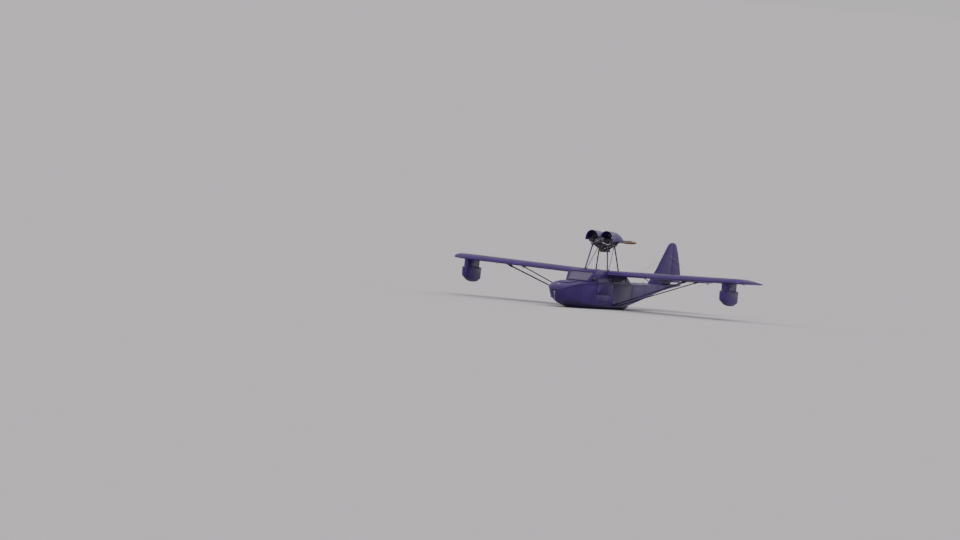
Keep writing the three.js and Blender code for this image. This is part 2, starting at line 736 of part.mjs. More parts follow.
function cylinder(y, z) {
  const rings = CYLINDER_FINS.flatMap(({ from, to, radius }) => [
    [BARREL_RADIUS, from], [radius, from], [radius, to], [BARREL_RADIUS, to],
  ]);
  const outline = [
    [0, CASE_HALF + SEAT_GAP],
    [BARREL_RADIUS, CASE_HALF + SEAT_GAP],
    ...rings,
    [BARREL_RADIUS, HEAD_END],
    [0, HEAD_END],
  ];
  const profile = outline.map(([radius, out]) => new THREE.Vector2(radius, out));
  const geometry = bare(new THREE.LatheGeometry(profile, 14));
  geometry.rotateZ(-Math.PI / 2).translate(0, y, z);
  const positions = Array.from(geometry.getAttribute('position').array);
  return closedGeometry(positions, Array.from(geometry.getIndex().array));
}

function cylinderBank() {
  const barrels = CYLINDER_ROWS.map(({ y }) => cylinder(y, CRANK_Z));
  const pipes = CYLINDER_ROWS.map(({ y, mouth }) => cut(
    join(tube([372, y, 2060], [330, y, 1990], 30, 12), tube([334, y, 1996], [40, mouth, MUFFLER_Z + 8], 30, 12)),
    tube([0, -460, MUFFLER_Z], [0, 160, MUFFLER_Z], MUFFLER_RADIUS + SEAT_GAP, 16),
    box(-100, 0, -500, 200, 1600, 2000),
  ));
  const collector = tube([346, -410, 1985], [346, -70, 1985], 34, 12);
  const rockers = CYLINDER_ROWS.map(({ y }) => prism('y', [
    [380, CRANK_Z - 52], [446, CRANK_Z - 40], [456, CRANK_Z], [446, CRANK_Z + 40], [380, CRANK_Z + 52],
  ], y - 78, y + 78));
  const pushrods = CYLINDER_ROWS.flatMap(({ y }) => [-52, 52].map((step) => (
    tube([CASE_HALF + 4, y + step, CRANK_Z + 74], [400, y + step, CRANK_Z + 34], 10, 8)
  )));
  return join(...barrels, ...pipes, collector, ...rockers, ...pushrods);
}

function muffler() {
  const drum = tube([0, -400, MUFFLER_Z], [0, 40, MUFFLER_Z], MUFFLER_RADIUS, 16);
  const tail = tube([0, 30, MUFFLER_Z], [0, 120, MUFFLER_Z - 14], 24, 12);
  const hangers = [-340, -110].map((y) => box(-20, 20, y, y + 8, MUFFLER_Z, 1875 - SEAT_GAP));
  return join(drum, tail, ...hangers);
}

// Intake box on the front of the crankcase
function airBox() {
  const shell = prism('x', [[-640, 2030], [-640, 2110], [-610, 2150], [-540.3, 2150], [-540.3, 2030]], -88, 88);
  return join(shell, tube([0, -680, 2070], [0, -630, 2070], 34, 16, 30));
}

// Cooling scoop: an arch over one cylinder bank, wide open to the bow
const SCOOP_ROWS = [
  { y: -560, inner: 34, outer: 496, foot: 2096, top: 2408 },
  { y: -540, inner: 40, outer: 490, foot: 2100, top: 2402 },
  { y: -300, inner: 44, outer: 488, foot: 2100, top: 2397 },
  { y: -80, inner: 52, outer: 484, foot: 2100, top: 2374 },
  { y: 60, inner: 70, outer: 474, foot: 2100, top: 2318 },
  { y: 140, inner: 104, outer: 458, foot: 2100, top: 2244 },
];
const SCOOP_STEPS = 18;
const SCOOP_WALL = 9;

function scoopRing({ y, inner, outer, foot, top }) {
  const centre = 0.5 * (inner + outer);
  const half = 0.5 * (outer - inner);
  const arc = (wall) => Array.from({ length: SCOOP_STEPS + 1 }, (_, i) => {
    const angle = Math.PI * (i / SCOOP_STEPS);
    return [centre + (half - wall) * Math.cos(angle), y, foot + (top - foot - wall) * Math.sin(angle) ** 0.8];
  });
  return [...arc(0), ...arc(SCOOP_WALL).reverse()];
}

function scoop() {
  const arch = loft(SCOOP_ROWS.map(scoopRing), 1);
  return cut(
    arch,
    ...CYLINDER_ROWS.map(({ y }) => cylinder(y, CRANK_Z + SEAT_GAP)),
    box(-CASE_HALF - SEAT_GAP, CASE_HALF + SEAT_GAP, -600, 200, 1900, 2212 + SEAT_GAP),
  );
}

// Propeller
function bladeRing({ out, chord, pitch, thick }) {
  const angle = THREE.MathUtils.degToRad(pitch);
  const shape = [[-0.5, 0], [-0.32, 0.42], [0, 0.5], [0.3, 0.34], [0.5, 0], [0.3, -0.2], [0, -0.3], [-0.32, -0.26]];
  return shape.map(([c, t]) => {
    const across = c * chord;
    const deep = t * thick;
    const up = across * Math.cos(angle) - deep * Math.sin(angle);
    const aft = across * Math.sin(angle) + deep * Math.cos(angle);
    return [out, PROP_Y + aft, CRANK_Z + up];
  });
}

function propeller() {
  const blade = loft(BLADE_ROWS.map(bladeRing), 0);
  const other = blade.clone().translate(0, 0, -CRANK_Z).rotateY(Math.PI).translate(0, 0, CRANK_Z);
  const hub = tube([0, 320 + SEAT_GAP, CRANK_Z], [0, 438, CRANK_Z], 62, 20);
  const cap = tube([0, 436, CRANK_Z], [0, 470, CRANK_Z], 62, 20, 24);
  return join(hub, cap, blade, other);
}

// Tail
function finRing({ z, lead, thick }) {
  const chord = FIN_TRAIL - lead;
  const shape = [[0, 0], [0.04, 0.5], [0.16, 0.86], [0.4, 1], [0.75, 0.86], [1, 0.6]];
  const left = shape.slice(1).map(([at, half]) => [0.5 * thick * half, lead + at * chord, z]);
  const right = shape.slice(1).reverse().map(([at, half]) => [-0.5 * thick * half, lead + at * chord, z]);
  return [[0, lead, z], ...left, ...right];
}

function fin() {
  const blank = loft(FIN_ROWS.map(finRing), 2);
  const hinge = (x) => [x, ELEVATOR_HINGE, TAIL_Z];
  const bearing = tube(hinge(-200), hinge(200), TORQUE_TUBE + 0.5, 20);
  const hollow = tube([0, RUDDER_HINGE, 700], [0, RUDDER_HINGE, 2400], 33, 20);
  return cut(blank, bearing, hollow, moved(aftDeck(), 0, 0, SEAT_GAP));
}

function rudderRing({ z, trail }) {
  const half = 20;
  const start = RUDDER_HINGE;
  const middle = start + 0.45 * (trail - start);
  return [
    [half, start, z], [0.7 * half, middle, z], [3, trail, z],
    [-3, trail, z], [-0.7 * half, middle, z], [-half, start, z],
  ];
}

function rudder() {
  const blade = loft(RUDDER_ROWS.map(rudderRing), 2);
  const nose = tube([0, RUDDER_HINGE, RUDDER_BOTTOM], [0, RUDDER_HINGE, FIN_TOP - 1], 20, 16);
  const pin = tube([0, RUDDER_HINGE, 853 + SEAT_GAP], [0, RUDDER_HINGE, 920], 10, 12);
  return join(blade, nose, pin);
}

function tailRing({ x, lead, thick }) {
  const chord = ELEVATOR_HINGE - 30 - lead;
  const shape = [[0, 0], [0.05, 0.55], [0.2, 0.9], [0.5, 1], [1, 0.72]];
  const upper = shape.slice(1).map(([at, half]) => [x, lead + at * chord, TAIL_Z + 0.5 * thick * half]);
  const lower = shape.slice(1).reverse().map(([at, half]) => [x, lead + at * chord, TAIL_Z - 0.5 * thick * half]);
  return [[x, lead, TAIL_Z], ...upper, ...lower];
}

// The inner end meets the side of the fin, so the fin and the far side of it are cut away
function stabilizer() {
  const rings = [{ ...TAIL_ROWS[0], x: 0 }, ...TAIL_ROWS].map(tailRing);
  const finSkin = moved(loft(FIN_ROWS.map(finRing), 2), SEAT_GAP, 0, 0);
  const farSide = box(-1, FIN_CORE, TAIL_ROWS[0].lead - 50, FIN_TRAIL, TAIL_Z - 60, TAIL_Z + 60);
  return cut(loft(rings, 0), finSkin, farSide);
}

function elevatorRing({ x, trail }) {
  const half = 17;
  const start = ELEVATOR_HINGE;
  const middle = start + 0.4 * (trail - start);
  return [
    [x, start, TAIL_Z + half], [x, middle, TAIL_Z + 0.75 * half], [x, trail, TAIL_Z + 3],
    [x, trail, TAIL_Z - 3], [x, middle, TAIL_Z - 0.75 * half], [x, start, TAIL_Z - half],
  ];
}

function elevator() {
  const halfBlade = loft(ELEVATOR_ROWS.map(elevatorRing), 0);
  const notch = prism('z', [[0, 3500], [62, 3500], [62, 3730], [265, 4130], [0, 4130]], 800, 1200);
  const nose = tube([62, ELEVATOR_HINGE, TAIL_Z], [1498, ELEVATOR_HINGE, TAIL_Z], 17.5, 20);
  const left = join(cut(halfBlade, notch), nose);
  const shaft = tube([-100, ELEVATOR_HINGE, TAIL_Z], [100, ELEVATOR_HINGE, TAIL_Z], TORQUE_TUBE, 20);
  return join(left, mirrored(left), shaft);
}

function tailStrut() {
  return cut(
    strut([150, 3260, 705], [760, 3350, 1000], 46, 22),
    moved(hullBlank(), SEAT_GAP, 0, 0),
    moved(stabilizer(), 0, 0, -SEAT_GAP),
    box(0, 1200, 3100, 3620, TAIL_Z, 1200),
  );
}

// Materials
const PAINT = { color: 0x33285a, roughness: 0.42, metalness: 0.1 };
const WING_PAINT = { color: 0x3b2f64, roughness: 0.4, metalness: 0.1 };
const STEEL = { color: 0x50545c, roughness: 0.5, metalness: 0.6 };
const ALLOY = { color: 0x8d9196, roughness: 0.45, metalness: 0.8 };
const CASTING = { color: 0x6b6e72, roughness: 0.6, metalness: 0.6 };
const GLASS_LOOK = { color: 0x9fb4c4, roughness: 0.08, metalness: 0 };
const WOOD = { color: 0x6b4428, roughness: 0.35, metalness: 0 };
const SEAT = { color: 0x7a5a42, roughness: 0.85, metalness: 0 };
const PANEL = { color: 0x202225, roughness: 0.7, metalness: 0.1 };

const group = new THREE.Group();

function add(name, geometry, look) {
  const mesh = new THREE.Mesh(geometry, new THREE.MeshStandardMaterial(look));
  mesh.name = name;
  mesh.geometry.computeVertexNormals();
  group.add(mesh);
}

function addPair(name, geometry, look) {
  add(`${name}_left`, geometry, look);
  add(`${name}_right`, mirrored(geometry), look);
}

add('hull', hull(), PAINT);
addPair('spray_rail', sprayRail(), PAINT);
add('foredeck', foredeck(), PAINT);
add('aft_deck', aftDeck(), PAINT);
add('cabin_frame', cabinFrame(), PAINT);
add('windshield', pane(prism('y', shrunk(WINDSHIELD, 0.6), -1700, SHIELD_TOP.y)), GLASS_LOOK);
add('skylight', pane(prism('z', shrunk(SKYLIGHT, 0.6), ROOF.z - 50, ROOF.z + 50)), GLASS_LOOK);
addPair('quarter_window', pane(prism('x', shrunk(QUARTER_LIGHT, 0.6), 0, 700)), GLASS_LOOK);
addPair('rear_window', pane(prism('x', shrunk(REAR_LIGHT, 0.6), 400, 700)), GLASS_LOOK);
addPair('door', door(), PAINT);
addPair('door_window', doorWindow(), GLASS_LOOK);
add('seat_cushion', seatCushion(), SEAT);
add('seat_back', seatBack(), SEAT);
add('instrument_panel', instrumentPanel(), PANEL);
add('control_column', controlColumn(), STEEL);
add('center_section', centerBlank(), WING_PAINT);
addPair('wing', wingPanel(), WING_PAINT);
addPair('aileron', aileron(), WING_PAINT);
STRUT_ROWS.forEach((row) => addPair(`lift_strut_${row.name}`, liftStrut(row), PAINT));
addPair('float', sideFloat(), PAINT);
addPair('float_pylon', floatPylon(), PAINT);
LEG_ROWS.forEach((row) => addPair(`pylon_leg_${row.name}`, pylonLeg(row), STEEL));
addPair('pylon_brace', pylonBrace(), STEEL);
add('engine_bed', engineBed(), STEEL);
add('crankcase', crankcase(), CASTING);
add('air_box', airBox(), CASTING);
addPair('cylinders', cylinderBank(), CASTING);
addPair('scoop', scoop(), PAINT);
add('muffler', muffler(), STEEL);
add('propeller', propeller(), WOOD);
add('fin', fin(), PAINT);
add('rudder', rudder(), PAINT);
addPair('stabilizer', stabilizer(), WING_PAINT);
add('elevator', elevator(), WING_PAINT);
addPair('tail_strut', tailStrut(), STEEL);

export default group;
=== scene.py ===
import json
import math
from itertools import product
import bmesh
import bpy
from mathutils import Matrix, Vector, noise
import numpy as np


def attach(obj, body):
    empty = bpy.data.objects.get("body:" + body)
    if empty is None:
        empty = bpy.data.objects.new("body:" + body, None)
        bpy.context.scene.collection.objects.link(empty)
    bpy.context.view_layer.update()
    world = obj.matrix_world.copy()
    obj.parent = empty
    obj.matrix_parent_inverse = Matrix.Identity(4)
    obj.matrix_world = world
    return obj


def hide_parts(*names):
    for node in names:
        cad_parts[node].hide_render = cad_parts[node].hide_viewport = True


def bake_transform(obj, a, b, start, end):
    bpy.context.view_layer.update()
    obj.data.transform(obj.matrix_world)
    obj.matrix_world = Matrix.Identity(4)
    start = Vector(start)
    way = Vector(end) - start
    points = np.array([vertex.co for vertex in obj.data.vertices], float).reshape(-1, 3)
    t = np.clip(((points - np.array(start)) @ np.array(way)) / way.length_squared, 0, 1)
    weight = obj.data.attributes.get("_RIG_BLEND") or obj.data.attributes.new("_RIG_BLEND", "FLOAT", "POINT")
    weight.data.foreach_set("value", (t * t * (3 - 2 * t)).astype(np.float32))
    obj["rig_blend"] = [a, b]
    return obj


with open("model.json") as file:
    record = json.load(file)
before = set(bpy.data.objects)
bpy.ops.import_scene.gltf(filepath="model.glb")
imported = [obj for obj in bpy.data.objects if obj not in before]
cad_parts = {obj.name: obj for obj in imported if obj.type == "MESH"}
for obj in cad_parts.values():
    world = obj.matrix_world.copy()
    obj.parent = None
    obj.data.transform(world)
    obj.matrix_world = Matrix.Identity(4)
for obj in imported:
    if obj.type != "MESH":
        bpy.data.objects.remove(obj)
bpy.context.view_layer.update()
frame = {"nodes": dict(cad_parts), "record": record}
cad_nodes = frame["nodes"]

# View of the photograph, in degrees, metres and pixels of a 960 x 540 image
AZIMUTH, ELEVATION, BANK = (math.radians(angle) for angle in (33, 1.3, 4.6))
DISTANCE = 400
PIXELS_PER_METRE = 32.4
IMAGE_WIDTH = 960
SENSOR = 36
WING_ROOT = Vector((0, 0, 1.1))
WING_ROOT_RIGHT = 126 / PIXELS_PER_METRE
WING_ROOT_DOWN = 3.2 / PIXELS_PER_METRE
WATERLINE = 0.0
FLOOR_SIZE = 40000

# Colours, linear
INDIGO = (0.032, 0.009, 0.11)
WING_INDIGO = (0.04, 0.012, 0.125)
STRUT_INDIGO = (0.028, 0.011, 0.078)
WATER_STAIN = (0.052, 0.046, 0.072, 1)
FLOOR_COLOUR = (0.55, 0.53, 0.543)
SKY_COLOUR = (0.86, 0.82, 0.85, 1)
SKY_STRENGTH = 0.7


def vec(x, y, z):
    return Vector((x, y, z))


LEFT, AFT, UP = vec(1, 0, 0), vec(0, 1, 0), vec(0, 0, 1)


# Camera and light
def make_camera():
    level = math.cos(ELEVATION)
    back = vec(math.sin(AZIMUTH) * level, -math.cos(AZIMUTH) * level, math.sin(ELEVATION))
    level_right = vec(math.cos(AZIMUTH), math.sin(AZIMUTH), 0)
    level_up = back.cross(level_right)
    right = level_right * math.cos(BANK) + level_up * math.sin(BANK)
    up = level_up * math.cos(BANK) - level_right * math.sin(BANK)
    place = WING_ROOT - right * WING_ROOT_RIGHT + up * WING_ROOT_DOWN + back * DISTANCE
    data = bpy.data.cameras.new("camera")
    data.sensor_width = SENSOR
    data.lens = SENSOR * PIXELS_PER_METRE * DISTANCE / IMAGE_WIDTH
    data.clip_start = 1
    data.clip_end = FLOOR_SIZE
    camera = bpy.data.objects.new("camera", data)
    bpy.context.collection.objects.link(camera)
    camera.matrix_world = Matrix.Translation(place) @ Matrix((right, up, back)).transposed().to_4x4()
    bpy.context.scene.camera = camera


def make_sun(name, toward, power, spread):
    data = bpy.data.lights.new(name, "SUN")
    data.energy = power
    data.angle = math.radians(spread)
    lamp = bpy.data.objects.new(name, data)
    lamp.rotation_mode = "QUATERNION"
    lamp.rotation_quaternion = Vector(toward).to_track_quat("-Z", "Y")
    bpy.context.collection.objects.link(lamp)


make_camera()
make_sun("key_light", (-0.55, 0.5, -0.75), 1.6, 40)
make_sun("fill_light", (0.8, 0.45, -0.5), 0.5, 60)
make_sun("back_light", (-0.2, -0.85, -0.5), 0.6, 60)
world = bpy.data.worlds.new("studio")
bpy.context.scene.world = world
world.use_nodes = True
world.node_tree.nodes["Background"].inputs["Color"].default_value = SKY_COLOUR
world.node_tree.nodes["Background"].inputs["Strength"].default_value = SKY_STRENGTH


# Materials
def shade(colour, share):
    return (*[min(1.0, channel * share) for channel in colour], 1)


class Finish:
    """A material in the making; a number stands for the grey of that brightness."""

    def __init__(self, name):
        self.material = bpy.data.materials.new(name)
        self.material.use_nodes = True
        self.nodes = self.material.node_tree.nodes
        self.shader = self.nodes["Principled BSDF"]
        self.place = self.add("TexCoord", "Object")

    def feed(self, node, inputs):
        """Links each input to a socket, or sets its value."""
        for key, value in inputs.items():
            if isinstance(value, bpy.types.NodeSocket):
                self.material.node_tree.links.new(value, node.inputs[key])
            else:
                node.inputs[key].default_value = value

    def add(self, kind, output, inputs=None, **settings):
        node = self.nodes.new("ShaderNode" + kind)
        for key, value in settings.items():
            setattr(node, key, value)
        self.feed(node, inputs or {})
        return node.outputs[output]

    def noise(self, scale, detail=5, stretch=None):
        place = self.add("Mapping", 0, {"Vector": self.place, "Scale": stretch}) if stretch else self.place
        return self.add("TexNoise", "Fac", {"Vector": place, "Scale": scale, "Detail": detail})

    def ramp(self, factor, *stops):
        ramp = self.nodes.new("ShaderNodeValToRGB")
        self.feed(ramp, {"Fac": factor})
        for element, (place, colour) in zip(ramp.color_ramp.elements, stops):
            element.position = place
            element.color = colour if isinstance(colour, tuple) else shade((1, 1, 1), colour)
        for place, colour in stops[2:]:
            ramp.color_ramp.elements.new(place).color = colour
        return ramp.outputs["Color"]

    def bump(self, height, strength, distance):
        return self.add("Bump", "Normal", {"Height": height, "Strength": strength, "Distance": distance})

    def mix(self, share, first, colour):
        """Lays a plain colour over the first one."""
        second = self.add("RGB", 0)
        second.default_value = colour
        return self.add("Mix", 2, {0: share, 6: first, 7: second}, data_type="RGBA")

    def multiply_add(self, first, share, second):
        return self.add("Math", 0, {0: first, 1: share, 2: second}, operation="MULTIPLY_ADD")

    def done(self, inputs):
        self.feed(self.shader, inputs)
        return self.material


def enamel(look, colour, roughness=0.4, cell=3.0, metal=0.0, coat=0.08):
    """Paint that is patchy in tone and gloss; gives its colour."""
    fine = look.noise(cell * 40, 3)
    base = look.ramp(look.noise(cell), (0.3, shade(colour, 0.82)), (0.7, shade(colour, 1.2)))
    look.done({
        "Base Color": base, "Roughness": look.ramp(fine, (0.3, roughness * 0.85), (0.7, roughness * 1.15)),
        "Normal": look.bump(fine, 0.12, 0.001), "Metallic": metal, "Coat Weight": coat, "Coat Roughness": 0.2,
        "Specular IOR Level": 0.36,
    })
    return base


def paint(name, *values):
    look = Finish(name)
    enamel(look, *values)
    return look.material


def hull_finish(name, colour):
    """Paint with a stain up to the waterline, uneven along its edge."""
    look = Finish(name)
    clean = enamel(look, colour)
    height = look.add("SeparateXYZ", "Z", {"Vector": look.place})
    edge = look.multiply_add(look.noise(5, 6, (3, 3, 0.35)), 0.16, height)
    return look.done({"Base Color": look.mix(look.ramp(edge, (0.10, 0.75), (0.24, 0)), clean, WATER_STAIN)})


def fabric_finish(name, colour):
    """Doped fabric with sooty streaks and a fine weave."""
    look = Finish(name)
    clean = enamel(look, colour, 0.42, 1.6, 0, 0.12)
    soot = look.ramp(look.noise(1.2, 6, (2.5, 0.5, 1)), (0.5, 0), (0.75, 0.55))
    return look.done({
        "Base Color": look.mix(soot, clean, shade(colour, 0.7)),
        "Normal": look.bump(look.noise(900, 2), 0.2, 0.0004),
    })


def metal_finish(name, colour, roughness, grime, cell=30.0, metallic=0.9):
    look = Finish(name)
    patches = look.noise(cell)
    return look.done({
        "Base Color": look.ramp(
            patches, (0.3, shade(grime, 1)), (0.52, shade(colour, 1)), (0.8, shade(colour, 1.2)),
        ),
        "Roughness": look.ramp(patches, (0.3, roughness * 1.6), (0.6, roughness)),
        "Normal": look.bump(look.noise(cell * 12, 3), 0.25, 0.001), "Metallic": metallic,
    })


def glass_finish(name, tint):
    """Clear panes, more mirror-like at a slant, with a faint smear."""
    look = Finish(name)
    smear = look.noise(4, 1.5, (1, 1, 2.5))
    rim = look.add("Fresnel", "Fac", {"IOR": 1.45})
    return look.done({
        "Base Color": look.ramp(smear, (0.3, shade(tint, 1)), (0.8, shade(tint, 1.1))),
        "Roughness": look.ramp(smear, (0.4, 0.02), (0.85, 0.05)), "Metallic": 0.6,
        "Alpha": look.multiply_add(rim, 0.85, look.ramp(smear, (0.3, 0.02), (0.8, 0.055))),
    })


def wood_finish(name, light, dark):
    """Varnished laminations with darker glue lines."""
    look = Finish(name)
    grain = look.noise(14, 8, (0.6, 9, 9))
    waves = {"Vector": look.place, "Scale": 18, "Distortion": 1.5}
    bands = look.add("TexWave", "Fac", waves, bands_direction="Y")
    wood = look.ramp(grain, (0.25, shade(dark, 1)), (0.75, shade(light, 1)))
    return look.done({
        "Base Color": look.mix(look.ramp(bands, (0.86, 0), (0.97, 0.8)), wood, shade(dark, 0.6)),
        "Normal": look.bump(grain, 0.15, 0.0006), "Roughness": 0.3, "Coat Weight": 0.8,
    })


def cloth_finish(name, colour, cell):
    look = Finish(name)
    weave = look.add("TexVoronoi", "Distance", {"Vector": look.place, "Scale": cell})
    return look.done({
        "Base Color": look.ramp(look.noise(9, 6), (0.3, shade(colour, 0.75)), (0.7, shade(colour, 1.25))),
        "Normal": look.bump(weave, 0.5, 0.001), "Roughness": 0.85,
    })


HULL_PAINT = hull_finish("hull_paint_look", INDIGO)
WING_PAINT = fabric_finish("wing_paint_look", WING_INDIGO)
STRUT_PAINT = paint("strut_paint_look", STRUT_INDIGO, 0.35, 12, 0.2)
STEEL = metal_finish("steel_tube_look", (0.13, 0.12, 0.16), 0.4, (0.05, 0.045, 0.06))
BRIGHT = metal_finish("bright_metal_look", (0.4, 0.39, 0.41), 0.32, (0.28, 0.27, 0.285), 60)
CASTING = metal_finish("engine_casting_look", (0.1, 0.09, 0.12), 0.5, (0.05, 0.04, 0.045), 18, 0.75)
FIN_METAL = metal_finish("cylinder_fin_look", (0.075, 0.068, 0.085), 0.5, (0.03, 0.028, 0.032), 25, 0.6)
EXHAUST = metal_finish("exhaust_look", (0.13, 0.09, 0.075), 0.65, (0.07, 0.045, 0.03), 14, 0.7)
BRASS = metal_finish("brass_look", (0.55, 0.38, 0.15), 0.35, (0.25, 0.16, 0.06), 70)
RUBBER = paint("rubber_look", (0.012, 0.012, 0.013), 0.75, 30, 0, 0)
GLASS = glass_finish("glazing_look", (0.42, 0.37, 0.52))
WOOD = wood_finish("propeller_wood_look", (0.13, 0.06, 0.028), (0.05, 0.022, 0.011))
SEAT = cloth_finish("seat_fabric_look", (0.19, 0.1, 0.06), 700)
WEBBING = cloth_finish("webbing_look", (0.05, 0.05, 0.055), 1200)
CARPET = cloth_finish("floor_mat_look", (0.045, 0.04, 0.05), 500)
PANEL = paint("panel_black_look", (0.018, 0.018, 0.02), 0.6, 40, 0, 0)
DIAL = paint("dial_look", (0.6, 0.58, 0.52), 0.5, 40, 0, 0)
RED_LENS = paint("red_lens_look", (0.45, 0.012, 0.012), 0.15, 40, 0, 0.8)
GREEN_LENS = paint("green_lens_look", (0.012, 0.3, 0.06), 0.15, 40, 0, 0.8)
CLEAR_LENS = paint("clear_lens_look", (0.7, 0.7, 0.68), 0.12, 40, 0, 0.8)

# Which finish each node takes
LOOKS = {
    "hull_paint": HULL_PAINT, "wing_paint": WING_PAINT, "strut_paint": STRUT_PAINT, "steel_tube": STEEL,
    "engine_casting": CASTING, "glazing": GLASS, "propeller_wood": WOOD, "seat_fabric": SEAT,
    "panel_black": PANEL,
}
NODE_LOOKS = {"muffler": EXHAUST}
slot_of_node = {row["node"]: row["material_slot"] for row in frame["record"]["subparts"]}

# Rounding of the edges of plated, cast and glazed nodes
EDGE_ROUND = {name: width for width, names in {
    0.01: ["seat_back"],
    0.006: ["hull", "float_left", "float_right"],
    0.005: ["crankcase"],
    0.004: ["foredeck", "aft_deck", "cabin_frame", "air_box", "muffler", "instrument_panel"],
    0.003: ["door_left", "door_right"],
    0.002: ["engine_bed", "spray_rail_left", "spray_rail_right"],
}.items() for name in names}
PLAIN_EDGE_ANGLE = math.radians(34)
ROUNDED_EDGE_ANGLE = math.radians(50)
WELD_DISTANCE = 0.00002


def soften(node, name):
    """Shades the curves of a node smoothly and rounds its edges, all by modifiers."""
    attributes = node.data.attributes
    for attribute in ("custom_normal", "sharp_edge", "sharp_face"):
        if attribute in attributes:
            attributes.remove(attributes[attribute])
    for polygon in node.data.polygons:
        polygon.use_smooth = True
    node.modifiers.new("weld", "WELD").merge_threshold = WELD_DISTANCE
    if name in EDGE_ROUND:
        rounding = node.modifiers.new("rounding", "BEVEL")
        rounding.width = EDGE_ROUND[name]
        rounding.segments = 2
        rounding.angle_limit = PLAIN_EDGE_ANGLE
    split = node.modifiers.new("split", "EDGE_SPLIT")
    split.split_angle = ROUNDED_EDGE_ANGLE if name in EDGE_ROUND else PLAIN_EDGE_ANGLE


for name, node in cad_nodes.items():
    node.data.materials.clear()
    node.data.materials.append(NODE_LOOKS.get(name, LOOKS[slot_of_node[name]]))
    soften(node, name)

# Bodies that a left piece and its mirror image ride
BOTH = ("airframe", "airframe")
DOORS = ("door_left", "door_right")
AILERONS = ("aileron_left", "aileron_right")
# How far the edges of a raised strip go below the surface
STRIP_SUNK = 0.002


def arc(radius, first, last, steps, centre, across=LEFT, up=UP):
    """Points on an arc, from angles in degrees; both ends count."""
    angles = [math.radians(first + (last - first) * i / steps) for i in range(steps + 1)]
    return [centre + (across * math.cos(a) + up * math.sin(a)) * radius for a in angles]


def circle(radius, count, centre, across=LEFT, up=UP, first=0):
    """Points evenly round a whole circle."""
    return arc(radius, first, first + 360, count, centre, across, up)[:-1]


